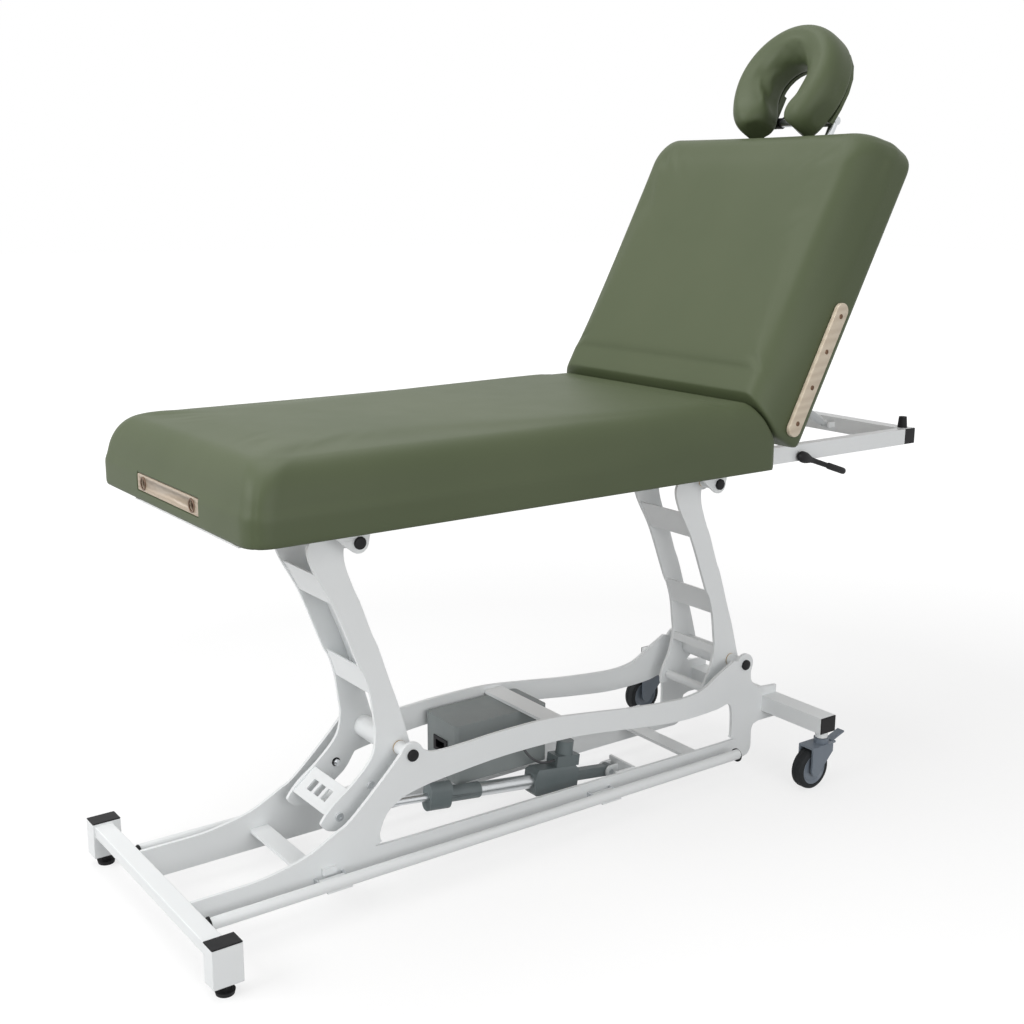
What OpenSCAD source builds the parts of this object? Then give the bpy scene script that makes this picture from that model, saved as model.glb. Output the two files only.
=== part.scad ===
// Electric massage table with a lift-up backrest and a sliding face cradle.
// Lengths are in millimetres. X runs from the foot end to the head end and Z is up.
// The origin is on the floor, halfway between the two ends.
// Left is the -Y side and right is the +Y side.
// The model stands raised, with the backrest up.

/* [Overall] */
// Length from the foot posts to the head end of the top frame
table_l = 1935; // [1900:5:2000]
// Width of the cushions
couch_w = 711; // [660:1:760]
// Height that the lift travels
lift_travel = 406; // [340:2:410]

/* [Legs] */
// Distance of the foot leg's lower pivot from the foot end
pivot_from_foot = 531; // [515:1:550]
// Distance between the two lower pivots
pivot_pitch = 957; // [940:1:980]
// Height of the lower pivots over the floor
pivot_h = 270; // [262:1:285]
// Height of each upper pivot over its lower pivot
leg_rise = 465; // [445:1:480]
// Distance that each upper pivot stands toward the foot end
leg_lean = 113; // [105:1:122]
// Width over a leg's two plates
leg_w = 156; // [150:1:170]
// Thickness of a leg plate
leg_plate_t = 8; // [6:0.5:9]
// Thickness of the webs and rungs between leg plates
web_t = 5; // [4:0.5:6]
// Radius of the round boss at a lower pivot
leg_boss_r = 27; // [25:0.5:30]
// Radius of the round boss at an upper pivot
top_boss_r = 22; // [20:0.5:25]
// Outer radius of the tube round a lower pivot
pivot_tube_r = 24; // [21:0.5:25]
// Distance of the crank's pin behind the lower pivot
crank_back = 144; // [138:1:150]
// Distance of the crank's pin below the lower pivot
crank_drop = 117; // [112:1:122]

/* [Pivots] */
// Diameter of the pivot axles
axle_d = 20; // [16:0.5:22]
// Wall of a pivot bush
bush_wall = 3; // [2:0.5:4]
// Length of a pivot bush
bush_l = 30; // [20:1:40]
// Thickness of a bush's flange
bush_flange_t = 2; // [1.5:0.5:3]
// Running clearance between an axle and its bush, on the radius
run_gap = 0.05; // [0.03:0.01:0.09]
// Clearance round the head leg's upper axle, on the radius
open_pivot_gap = 1; // [0.6:0.1:1.5]
// Diameter of an axle's end cap
axle_cap_d = 24; // [23:0.5:27]
// Thickness of an axle's end cap
axle_cap_t = 4; // [3:0.5:6]
// Outer diameter of the spacer tubes
spacer_d = 30; // [27:0.5:34]

/* [Base] */
// Width over the base side plates
base_w = 260; // [252:1:280]
// Thickness of a base side plate
plate_t = 8; // [6:0.5:9]
// Height of the side plates' lower edge over the floor
plate_low = 28; // [24:1:34]
// Width over the foot posts
stand_w = 640; // [600:1:680]
// Length of a foot post
post_l = 60; // [54:1:66]
// Width of a foot post
post_w = 39; // [34:1:44]
// Height of a post's lower end over the floor
post_low = 22; // [18:1:26]
// Height of a post's cap over the floor
post_top = 102; // [98:1:115]
// Wall of the steel tubes
tube_wall = 2.5; // [2:0.25:3]
// Length of the foot crossbar's section
foot_bar_l = 38; // [34:1:42]
// Height of the foot crossbar's section
foot_bar_h = 25; // [22:1:28]
// Height of the foot crossbar's top face
foot_bar_top = 94; // [90:1:97]
// Length of the head crossbar's section
head_bar_l = 50; // [44:1:56]
// Height of the head crossbar's section
head_bar_h = 40; // [36:1:44]
// Height of the head crossbar's lower face
head_bar_low = 136; // [132:1:142]
// Length of the head crossbar
head_bar_w = 650; // [620:1:680]
// Distance of the head crossbar's middle from the head leg's lower pivot
head_bar_from_pivot = 89.5; // [88:0.5:96]
// Thickness of the plastic end caps
end_cap_t = 3; // [2:0.5:4]
// Thickness of the flat braces
brace_t = 8; // [6:0.5:10]

/* [Casters] */
// Diameter of a caster wheel
wheel_d = 100; // [92:1:104]
// Width of a caster wheel
wheel_w = 32; // [28:1:36]
// Distance of the wheel's axle behind the swivel
caster_trail = 36; // [30:1:40]
// Distance of a swivel from the middle
caster_y = 305; // [290:1:307]
// Radius of the swivel head
swivel_r = 18; // [16:0.5:20]

/* [Foot bars] */
// Diameter of a foot bar
pedal_bar_d = 24; // [20:0.5:26]
// Distance of a foot bar from the middle
pedal_bar_y = 180; // [174:1:190]
// Height of a foot bar's middle
pedal_bar_h = 69; // [66:1:76]
// Distance of a foot bar's end from the foot end
pedal_bar_start = 58; // [52:1:66]
// Length of a foot bar
pedal_bar_l = 1366; // [1300:2:1400]

/* [Actuator] */
// Distance of the rear pin from the foot leg's lower pivot
ram_anchor_from_pivot = 589; // [582:1:600]
// Height of the rear pin
ram_anchor_h = 60; // [56:1:66]
// Distance of the actuator from the middle
ram_y = 50; // [48:0.5:51]
// Diameter of the piston rod
ram_rod_d = 18; // [16:0.5:20]
// Diameter of the outer tube
ram_tube_d = 32; // [28:0.5:34]
// Radius of an eye
ram_eye_r = 15; // [13:0.5:16]
// Diameter of a pin
ram_pin_d = 12; // [10:0.5:13]

/* [Control box] */
// Length of the control box
box_l = 250; // [220:1:256]
// Width of the control box
box_w = 126; // [110:1:130]
// Height of the control box
box_h = 136; // [120:1:140]
// Wall of the control box
box_wall = 3; // [2:0.5:4]

/* [Top frame] */
// Width over the rails
frame_w = 480; // [460:1:500]
// Width of a rail
rail_w = 25; // [22:1:28]
// Height of a rail
rail_h = 38; // [34:1:42]
// Height of the rails over the upper pivots
rail_over_pivot = 57; // [52:1:62]
// Distance of the rails' foot end from the foot end
rail_start = 118; // [117:1:126]
// Diameter of a rubber bumper
bumper_d = 24; // [20:0.5:26]

/* [Seat and backrest] */
// Distance of the seat's foot end from the foot end
seat_start = 88; // [80:1:100]
// Distance of the back hinge from the foot end
hinge_from_foot = 1322; // [1310:1:1335]
// Height of the back hinge over the decks
hinge_rise = 11; // [10:0.5:13]
// Length of the backrest from its hinge
back_l = 720; // [700:1:740]
// Angle of the raised backrest
back_angle = 62; // [50:1:64]
// Height of the battens
batten_h = 27; // [24:1:30]
// Thickness of the plywood decks
ply_t = 12; // [9:1:15]
// Height of the wooden edge frame
edge_h = 44; // [40:1:48]
// Thickness of the wooden edge frame
edge_t = 20; // [18:1:24]
// Height of the seat's foam over its deck, at its edge
foam_t = 88; // [80:1:92]
// Height of the backrest's foam over its deck, at its edge
back_foam_t = 102; // [94:1:108]
// Height of the crown at the middle of a cushion
crown_h = 6; // [3:0.5:9]
// Thickness of the padding on the sides
side_pad = 8; // [6:0.5:10]
// Gap between a cushion and the hinge line
cushion_gap = 2.5; // [2:0.25:4]
// Width of the small rounding at the top of a cushion's hinge edge
crease_round = 14; // [8:1:24]
// Width of the rounding along a cushion's other edges
edge_round = 55; // [50:1:80]
// Radius of the outer corners
corner_r = 45; // [40:1:60]
// Distance between the accessory sockets
socket_pitch = 229; // [220:1:240]
// Diameter of the accessory sockets
socket_d = 19.1; // [18:0.1:20]

/* [Face cradle] */
// Outer radius of the face cushion
face_r = 148; // [140:1:156]
// Thickness of the face cushion
face_t = 92; // [80:1:106]
// Distance of the face cushion's middle from the back's head edge
face_past_back = 127; // [124:1:140]
// Half the width of the face hole
face_hole_r = 56; // [50:1:60]

/* [Hidden] */

// Fineness of round shapes, and of curves between two outline points
round_fn = 48;
curve_n = 4;
// Overrun of a cut past the face that it leaves
over = 1;
// Clearance between soft or flat pieces that move past each other
soft_gap = 0.3;

frame_color = [0.84, 0.87, 0.87];
black = [0.08, 0.08, 0.09];
steel = [0.62, 0.65, 0.66];
grey = [0.42, 0.46, 0.46];
hub_blue = [0.39, 0.43, 0.49];
vinyl = [0.38, 0.42, 0.33];
wood = [0.78, 0.71, 0.59];
bronze = [0.66, 0.52, 0.32];

// Main places
foot_x = -table_l / 2;
head_x = table_l / 2;
foot_pivot = [foot_x + pivot_from_foot, 0, pivot_h];
head_pivot = foot_pivot + [pivot_pitch, 0, 0];
leg_reach = [-leg_lean, 0, leg_rise];
foot_top_pivot = foot_pivot + leg_reach;
head_top_pivot = head_pivot + leg_reach;
plate_in = base_w / 2 - plate_t;
leg_in = leg_w / 2 - leg_plate_t;
axle_r = axle_d / 2;
axle_half = base_w / 2;

// Turn of the legs over the whole travel
leg_l = norm(leg_reach);
lift_turn = acos((leg_rise - lift_travel) / leg_l) - acos(leg_rise / leg_l);

// Actuator places and lengths, raised and lowered
function turned(p, a) = [p[0] * cos(a) + p[2] * sin(a), p[1], p[2] * cos(a) - p[0] * sin(a)];
crank_reach = [-crank_back, 0, -crank_drop];
crank_pin = foot_pivot + crank_reach;
crank_pin_low = foot_pivot + turned(crank_reach, -lift_turn);
ram_rear = [foot_pivot[0] + ram_anchor_from_pivot, 0, ram_anchor_h];
ram_long = norm(crank_pin - ram_rear);
ram_short = norm(crank_pin_low - ram_rear);
ram_stroke = ram_long - ram_short;
ram_tilt = atan((crank_pin[2] - ram_rear[2]) / (ram_rear[0] - crank_pin[0]));

// Top frame places
rail_low = foot_top_pivot[2] + rail_over_pivot;
rail_top = rail_low + rail_h;
rail_x0 = foot_x + rail_start;
head_cross_x = head_x - rail_h;
ply_low = rail_top + batten_h;
deck_top = ply_low + ply_t;
skirt_low = ply_low - edge_h;
hinge = [foot_x + hinge_from_foot, 0, deck_top + hinge_rise];
seat_x0 = foot_x + seat_start;

// A line through all points of a list, smooth between its ends
function through(p, n = curve_n) = [
    for (i = [0 : len(p) - 2], k = [0 : n - 1])
        let (a = p[max(i - 1, 0)], b = p[i], c = p[i + 1], d = p[min(i + 2, len(p) - 1)], t = k / n)
        (b * 2 + (c - a) * t + (a * 2 - b * 5 + c * 4 - d) * t * t
            + (b * 3 - a - c * 3 + d) * t * t * t) / 2,
    p[len(p) - 1]
];
function reversed(p) = [for (i = [len(p) - 1 : -1 : 0]) p[i]];
function shifted(p, dx, dz) = [for (q = p) [q[0] + dx, q[1] + dz]];
function part_way(a, b, t) = a + (b - a) * t;

// Shapes drawn in X and Z, made a plate t thick from y upward
module upright(y, t) translate([0, y + t, 0]) rotate([90, 0, 0]) linear_extrude(t) children();
// A round bar along Y, centred on y = 0, at a place given as x and z
module across(at, r, l, y = 0) translate([at[0], y, at[2]]) rotate([90, 0, 0])
    cylinder(r = r, h = l, center = true, $fn = round_fn);
// A round bar along X from x0
module along(r, x0, l) translate([x0, 0, 0]) rotate([0, 90, 0]) cylinder(r = r, h = l, $fn = round_fn);
module both_sides() {
    children();
    mirror([0, 1, 0]) children();
}
module box(low, high) translate(low) cube(high - low);

// Base side plates
// Points are shares: along the pitch from the foot pivot, and of the pivot height
plate_toe_shares = [[-0.418, 0.348], [-0.363, 0.353], [-0.297, 0.389], [-0.248, 0.437],
    [-0.188, 0.541], [-0.15, 0.615], [-0.067, 0.885], [-0.03, 1.02]];
plate_arch_shares = [[0.02, 1.055], [0.045, 0.99], [0.084, 0.974], [0.149, 0.98], [0.23, 0.993],
    [0.34, 0.995], [0.412, 0.978], [0.52, 0.93], [0.598, 0.893], [0.66, 0.87], [0.726, 0.848],
    [0.796, 0.838], [0.854, 0.868], [0.905, 0.963], [0.96, 1.06]];
window_shares = [[-0.083, 0.44], [-0.078, 0.372], [-0.051, 0.337], [0.445, 0.319], [0.93, 0.3],
    [0.957, 0.33], [0.961, 0.42], [0.958, 0.6], [0.944, 0.665], [0.911, 0.645], [0.85, 0.633],
    [0.764, 0.637], [0.632, 0.69], [0.511, 0.748], [0.401, 0.778], [0.241, 0.782],
    [0.101, 0.748], [0.031, 0.722], [-0.029, 0.67], [-0.066, 0.575]];
function plate_points(shares) = [for (s = shares) [foot_pivot[0] + s[0] * pivot_pitch, s[1] * pivot_h]];

// Set-back of the foot crossbar from the posts' foot faces
foot_bar_back = 5;
foot_bar_x0 = foot_x + foot_bar_back;
foot_bar_x1 = foot_bar_x0 + foot_bar_l;
head_bar_x = head_pivot[0] + head_bar_from_pivot;
head_bar_x0 = head_bar_x - head_bar_l / 2;
head_bar_x1 = head_bar_x + head_bar_l / 2;
head_bar_top = head_bar_low + head_bar_h;
// Steel of the side plate over, under and in front of the head crossbar
tongue_rim = 24;
tongue_root = 30;
plate_corner = 22;

// The side plate's head end, from the pivot boss down to its lower corner
heel_line = concat(
    through([[head_pivot[0] + leg_boss_r, pivot_h - leg_boss_r * 0.1],
        [head_pivot[0] + leg_boss_r * 0.8, pivot_h - leg_boss_r],
        [head_pivot[0] + leg_boss_r, part_way(head_bar_top + tongue_rim, pivot_h, 0.3)],
        [head_bar_x0 - tongue_root / 2, head_bar_top + tongue_rim]]),
    [[head_bar_x1, head_bar_top + tongue_rim * 0.8], [head_bar_x1, head_bar_low - tongue_rim],
     [head_bar_x0 - tongue_root / 3, head_bar_low - tongue_rim]],
    through([[head_bar_x0 - tongue_root * 0.9, head_bar_low - tongue_rim * 1.2],
        [head_bar_x0 - tongue_root * 1.1, head_bar_low - tongue_rim * 1.9],
        [head_bar_x0 - tongue_root * 1.1, plate_low + plate_corner],
        [head_bar_x0 - tongue_root * 1.4, plate_low + plate_corner * 0.25],
        [head_bar_x0 - tongue_root * 1.9, plate_low]]));

module plate_form() polygon(concat(
    [[foot_bar_x1, plate_low], [foot_bar_x1, foot_bar_top]],
    through(plate_points(plate_toe_shares)),
    through(plate_points(plate_arch_shares)),
    heel_line));

module side_plate() difference() {
    union() {
        upright(-base_w / 2, plate_t) plate_form();
        for (p = [foot_pivot, head_pivot]) across(p, leg_boss_r, plate_t, -base_w / 2 + plate_t / 2);
    }
    upright(-base_w / 2 - over, plate_t + 2 * over) polygon(through(concat(
        plate_points(window_shares), [plate_points(window_shares)[0]])));
    for (p = [foot_pivot, head_pivot]) across(p, axle_r, plate_t + 2 * over, -base_w / 2 + plate_t / 2);
    box([head_bar_x0, -base_w / 2 - over, head_bar_low],
        [head_bar_x1 + over, -plate_in + over, head_bar_top]);
}
module left_side_plate() color(frame_color) side_plate();
module right_side_plate() color(frame_color) mirror([0, 1, 0]) side_plate();

// Foot stand: a crossbar with a post at each end
post_plate_t = 4;
module foot_post() difference() {
    box([foot_x, -stand_w / 2, post_low], [foot_x + post_l, -stand_w / 2 + post_w, post_top - end_cap_t]);
    box([foot_x + tube_wall, -stand_w / 2 + tube_wall, post_low + post_plate_t],
        [foot_x + post_l - tube_wall, -stand_w / 2 + post_w - tube_wall, post_top]);
    translate([foot_x + post_l / 2, -stand_w / 2 + post_w / 2, post_low - over])
        cylinder(r = glide_stem_r, h = post_plate_t + 2 * over, $fn = round_fn);
}
module foot_stand() color(frame_color) {
    both_sides() foot_post();
    difference() {
        box([foot_bar_x0, post_w - stand_w / 2, foot_bar_top - foot_bar_h],
            [foot_bar_x1, stand_w / 2 - post_w, foot_bar_top]);
        box([foot_bar_x0 + tube_wall, post_w - stand_w / 2 - over, foot_bar_top - foot_bar_h + tube_wall],
            [foot_bar_x1 - tube_wall, stand_w / 2 - post_w + over, foot_bar_top - tube_wall]);
    }
}
// Depth that an end cap's plug goes into its tube
plug_l = 10;
module foot_post_cap() {
    box([foot_x, -stand_w / 2, post_top - end_cap_t],
        [foot_x + post_l, -stand_w / 2 + post_w, post_top]);
    box([foot_x + tube_wall, -stand_w / 2 + tube_wall, post_top - end_cap_t - plug_l],
        [foot_x + post_l - tube_wall, -stand_w / 2 + post_w - tube_wall, post_top - end_cap_t]);
}
glide_r = 19;
glide_foot_t = 8;
glide_stem_r = 5;
glide_nut_r = 10;
module foot_glides() color(black) both_sides()
    translate([foot_x + post_l / 2, -stand_w / 2 + post_w / 2, 0]) {
        cylinder(r1 = glide_r * 0.9, r2 = glide_r, h = glide_foot_t, $fn = round_fn);
        cylinder(r = glide_stem_r, h = post_low + post_plate_t * 2, $fn = round_fn);
        translate([0, 0, glide_foot_t])
            cylinder(r = glide_nut_r, h = post_low - glide_foot_t, $fn = round_fn);
    }

// Braces between the base side plates
high_brace_share = 0.395;
high_brace_l = 50;
low_brace_shares = [-0.24, 0.83];
low_brace_l = 42;
low_brace_top = 76;
high_brace_top = 258;
high_brace_x = foot_pivot[0] + high_brace_share * pivot_pitch;
module cross_braces() color(frame_color) {
    box([high_brace_x - high_brace_l / 2, -plate_in, high_brace_top - brace_t],
        [high_brace_x + high_brace_l / 2, plate_in, high_brace_top]);
    for (s = low_brace_shares)
        box([foot_pivot[0] + s * pivot_pitch - low_brace_l / 2, -plate_in, low_brace_top - brace_t],
            [foot_pivot[0] + s * pivot_pitch + low_brace_l / 2, plate_in, low_brace_top]);
}

// Head crossbar with a short socket under each end for a caster
caster_socket_h = 16;
caster_socket_r = 15;
caster_stem_r = 6;
module head_crossbar() color(frame_color) difference() {
    union() {
        box([head_bar_x0, end_cap_t - head_bar_w / 2, head_bar_low],
            [head_bar_x1, head_bar_w / 2 - end_cap_t, head_bar_top]);
        both_sides() translate([head_bar_x, -caster_y, head_bar_low - caster_socket_h])
            cylinder(r = caster_socket_r, h = caster_socket_h, $fn = round_fn);
    }
    box([head_bar_x0 + tube_wall, -head_bar_w / 2, head_bar_low + tube_wall],
        [head_bar_x1 - tube_wall, head_bar_w / 2, head_bar_top - tube_wall]);
    both_sides() translate([head_bar_x, -caster_y, head_bar_low - caster_socket_h - over])
        cylinder(r = caster_stem_r + run_gap, h = caster_socket_h + tube_wall + 2 * over, $fn = round_fn);
}
module head_crossbar_cap() {
    box([head_bar_x0, -head_bar_w / 2, head_bar_low],
        [head_bar_x1, end_cap_t - head_bar_w / 2, head_bar_top]);
    box([head_bar_x0 + tube_wall, end_cap_t - head_bar_w / 2, head_bar_low + tube_wall],
        [head_bar_x1 - tube_wall, end_cap_t + plug_l / 2 - head_bar_w / 2, head_bar_top - tube_wall]);
}

module base_end_caps() color(black) both_sides() {
    foot_post_cap();
    head_crossbar_cap();
}

// Pivot axles with their end caps
module axle(p) {
    color(steel) across(p, axle_r, 2 * axle_half);
    color(black) both_sides() across(p, axle_cap_d / 2, axle_cap_t, -axle_half - axle_cap_t / 2);
}
module lower_axles() for (p = [foot_pivot, head_pivot]) axle(p);
// Spacer tubes keep a leg in the middle of its axle
spacer_y0 = leg_w / 2 + bush_flange_t + soft_gap;
module spacer(p) both_sides() difference() {
    across(p, spacer_d / 2, plate_in - spacer_y0, -(plate_in + spacer_y0) / 2);
    across(p, axle_r, plate_in, -(plate_in + spacer_y0) / 2);
}
module axle_spacers() color(frame_color) for (p = [foot_pivot, head_pivot]) spacer(p);

// Control box, hung under the high brace
box_past_brace = 30;
box_x0 = high_brace_x + high_brace_l / 2 + box_past_brace - box_l;
box_to_plate = 14;
box_y0 = plate_in - box_to_plate - box_w;
box_top = high_brace_top - brace_t;
box_lid_h = 24;
box_edge_r = 10;
module box_form(inset, low, high) translate([box_x0 + inset, box_y0 + inset, low])
    linear_extrude(high - low) rounded_plan(box_l - 2 * inset, box_w - 2 * inset, box_edge_r - inset);
// A rectangle with round corners, its low corner at the origin
module rounded_plan(l, w, r) {
    translate([r, 0]) square([l - 2 * r, w]);
    translate([0, r]) square([l, w - 2 * r]);
    for (x = [r, l - r], y = [r, w - r]) translate([x, y]) circle(r = r, $fn = round_fn);
}
module control_box() color(grey) difference() {
    box_form(0, box_top - box_h + box_lid_h, box_top);
    box_form(box_wall, box_top - box_h + box_lid_h - over, box_top - box_wall);
    box([box_x0 - over, inlet_y - inlet_w / 2, inlet_z - inlet_h / 2],
        [box_x0 + box_wall + over, inlet_y + inlet_w / 2, inlet_z + inlet_h / 2]);
    translate([gland_x, box_y0 - over, gland_z]) rotate([-90, 0, 0])
        cylinder(r = lead_gland_r, h = box_wall + 2 * over, $fn = round_fn);
}
module control_box_cover() color(grey) difference() {
    box_form(0, box_top - box_h, box_top - box_h + box_lid_h);
    box_form(box_wall, box_top - box_h + box_wall, box_top - box_h + box_lid_h + over);
}
// Circuit board on posts under the box's roof, with its transformer
board_t = 2;
board_margin = 12;
board_post = 8;
transformer = [70, 60, 45];
module control_board() color([0.15, 0.35, 0.2]) {
    board_top = box_top - box_wall - board_post;
    box([box_x0 + board_margin, box_y0 + board_margin, board_top - board_t],
        [box_x0 + box_l - board_margin, box_y0 + box_w - board_margin, board_top]);
    for (x = [box_x0 + 2 * board_margin, box_x0 + box_l - 2 * board_margin],
         y = [box_y0 + 2 * board_margin, box_y0 + box_w - 2 * board_margin])
        translate([x, y, board_top]) cylinder(d = board_post, h = board_post, $fn = round_fn);
    translate([box_x0 + box_l / 2, box_y0 + box_w / 2, board_top - board_t - transformer[2] / 2])
        cube(transformer, center = true);
}
inlet_w = 48;
inlet_h = 28;
inlet_l = 26;
inlet_lip = 3;
inlet_y = box_y0 + box_w / 2;
inlet_z = box_top - box_h * 0.45;
inlet_recess = [22, 34, 18];
module mains_inlet() color(black) difference() {
    union() {
        box([box_x0 - inlet_lip, inlet_y - inlet_w / 2 - inlet_lip, inlet_z - inlet_h / 2 - inlet_lip],
            [box_x0, inlet_y + inlet_w / 2 + inlet_lip, inlet_z + inlet_h / 2 + inlet_lip]);
        box([box_x0, inlet_y - inlet_w / 2, inlet_z - inlet_h / 2],
            [box_x0 + inlet_l, inlet_y + inlet_w / 2, inlet_z + inlet_h / 2]);
    }
    translate([box_x0 - inlet_lip - over, inlet_y - inlet_recess[1] / 2, inlet_z - inlet_recess[2] / 2])
        cube(inlet_recess);
}

// Lead from the actuator's motor to the control box
gland_x = box_x0 + box_l * 0.62;
gland_z = box_top - box_h * 0.5;
lead_gland_r = 6;
gland_l = 14;
lead_r = 3;
lead_sides = 8;
lead_points = [[0, 0, 0], [0, -14, 0], [4, -25, -9], [20, -32, -32], [46, -33, -50], [70, -32, -56],
    [82.4, -32, -56]];
function ring(at, dir, r, n) = let (
        side = cross(dir, [0, 0, 1]) / norm(cross(dir, [0, 0, 1])), up = cross(side, dir))
    [for (i = [0 : n - 1]) at + side * r * cos(360 * i / n) - up * r * sin(360 * i / n)];
function path3(p) = through(p, 3);
module tube_on(path, r, n) skin([for (i = [0 : len(path) - 1])
    let (d = path[min(i + 1, len(path) - 1)] - path[max(i - 1, 0)]) ring(path[i], d / norm(d), r, n)]);
module control_lead() color(black) {
    translate([gland_x, box_y0 - gland_l / 2, gland_z]) rotate([-90, 0, 0])
        cylinder(r = lead_gland_r - run_gap, h = gland_l, $fn = round_fn);
    translate([gland_x, box_y0 - gland_l / 2, gland_z]) tube_on(path3(lead_points), lead_r, lead_sides);
}

// Actuator, along its own axis: the rear pin is the origin and x is negative toward the foot
module on_ram() translate([ram_rear[0], -ram_y, ram_rear[2]]) rotate([0, ram_tilt, 0]) children();
ram_clevis_l = 107;
ram_gearbox_l = 122;
ram_tube_l = 146;
ram_collar_l = 79;
ram_head_l = 54;
ram_gearbox_h = 62;
ram_gearbox_w = 46;
ram_head_h = 62;
ram_head_w = 36;
ram_collar_d = 36;
ram_clevis_w = 20;
ram_body_l = ram_clevis_l + ram_gearbox_l + ram_tube_l + ram_collar_l + ram_head_l;
gearbox_end = ram_clevis_l + ram_gearbox_l;
gearbox_edge = 8;
ram_bore_r = 12;
ram_spindle_r = 5;
ram_rod_inside = 60;
module ram_gearbox() color(grey) on_ram() difference() {
    union() {
        hull() for (e = [[0, gearbox_edge], [gearbox_edge, 0]])
            box([e[0] - gearbox_end, e[0] / 2 - ram_gearbox_w / 2, e[1] - ram_gearbox_h / 2],
                [-ram_clevis_l - e[0], ram_gearbox_w / 2 - e[0] / 2, ram_gearbox_h / 2 - e[1]]);
        translate([-ram_clevis_l, -ram_clevis_w / 2, -ram_eye_r * 0.8])
            cube([ram_clevis_l, ram_clevis_w, ram_eye_r * 1.6]);
        across([0, 0, 0], ram_eye_r, ram_clevis_w);
    }
    across([0, 0, 0], ram_pin_d / 2 + run_gap, ram_clevis_w + 2 * over);
    along(ram_spindle_r, -gearbox_end - over, ram_gearbox_l / 2);
}
motor_l = 64;
motor_h = 58;
motor_w = 40;
module ram_motor() color(grey) on_ram() translate([-ram_clevis_l - motor_l / 2, 0, ram_gearbox_h / 2]) {
    cylinder(d = motor_w, h = motor_h, $fn = round_fn);
    translate([-motor_l / 2, -motor_w / 2, 0]) cube([motor_l, motor_w, motor_h * 0.45]);
}
module ram_tube() color([0.7, 0.72, 0.72]) on_ram() difference() {
    along(ram_tube_d / 2, -gearbox_end - ram_tube_l, ram_tube_l);
    along(ram_bore_r, -gearbox_end - ram_tube_l - over, ram_tube_l + over - tube_wall);
    along(ram_spindle_r, -gearbox_end - ram_tube_l, ram_tube_l + over);
}
module ram_head() color([0.52, 0.49, 0.45]) on_ram() difference() {
    union() {
        along(ram_collar_d / 2, -gearbox_end - ram_tube_l - ram_collar_l, ram_collar_l);
        hull() for (z = [-1, 1]) translate([0, 0, z * (ram_head_h - ram_head_w) / 2])
            along(ram_head_w / 2, -ram_body_l, ram_head_l);
    }
    along(ram_bore_r, -gearbox_end - ram_tube_l - ram_collar_l - over, ram_collar_l + 2 * over);
    along(ram_rod_d / 2 + run_gap, -ram_body_l - over, ram_head_l + 2 * over);
}
module ram_spindle() color(steel) on_ram()
    along(ram_spindle_r, ram_head_l - ram_body_l,
        ram_body_l - ram_head_l - gearbox_end + ram_gearbox_l / 2 - over);
ram_rod_bore = ram_spindle_r * 1.2;
module ram_rod() color(steel) on_ram() {
    ram_rod_tube();
    across([-ram_long, 0, 0], ram_pin_d / 2, 2 * ram_pin_half, ram_y);
}
module ram_rod_tube() difference() {
    union() {
        along(ram_rod_d / 2, -ram_long, ram_long - ram_body_l + ram_rod_inside);
        across([-ram_long, 0, 0], ram_eye_r, ram_clevis_w);
    }
    along(ram_rod_bore, -ram_body_l - ram_stroke + ram_rod_inside * 0.7, ram_stroke + over);
    along(ram_spindle_r + run_gap, -ram_body_l + ram_rod_inside * 0.5, ram_rod_inside);
    across([-ram_long, 0, 0], ram_pin_d / 2, ram_clevis_w + 2 * over);
}
// The rod's pin stops short of both crank plates, because the linkage is open here
ram_pin_half = leg_in - 2 * soft_gap;

// Bracket that holds the actuator's rear pin on the left side plate
anchor_t = 6;
anchor_h = 52;
anchor_gap = 1;
anchor_ear_y = [-ram_y - ram_clevis_w / 2 - anchor_gap - anchor_t, -ram_y + ram_clevis_w / 2 + anchor_gap];
anchor_web_x = ram_rear[0] + ram_eye_r + anchor_t;
anchor_low = ram_rear[2] - anchor_h / 2;
module ram_anchor() color(frame_color) difference() {
    union() {
        box([anchor_web_x, -plate_in, anchor_low],
            [anchor_web_x + anchor_t, anchor_ear_y[1] + anchor_t, anchor_low + anchor_h]);
        box([anchor_web_x - anchor_h, -plate_in, anchor_low],
            [anchor_web_x + anchor_t, anchor_t - plate_in, anchor_low + anchor_h]);
        for (y = anchor_ear_y) {
            box([ram_rear[0], y, ram_rear[2] - ram_eye_r],
                [anchor_web_x, y + anchor_t, ram_rear[2] + ram_eye_r]);
            across(ram_rear, ram_eye_r, anchor_t, y + anchor_t / 2);
        }
    }
    across(ram_rear, ram_pin_d / 2, base_w);
}
module ram_anchor_pin() color(steel) {
    pin_y0 = anchor_ear_y[0] - anchor_gap;
    pin_y1 = anchor_ear_y[1] + anchor_t + anchor_gap;
    across(ram_rear, ram_pin_d / 2, pin_y1 - pin_y0, (pin_y0 + pin_y1) / 2);
    across(ram_rear, ram_pin_d * 0.75, anchor_t / 2, pin_y1 + anchor_t / 4);
}

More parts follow.
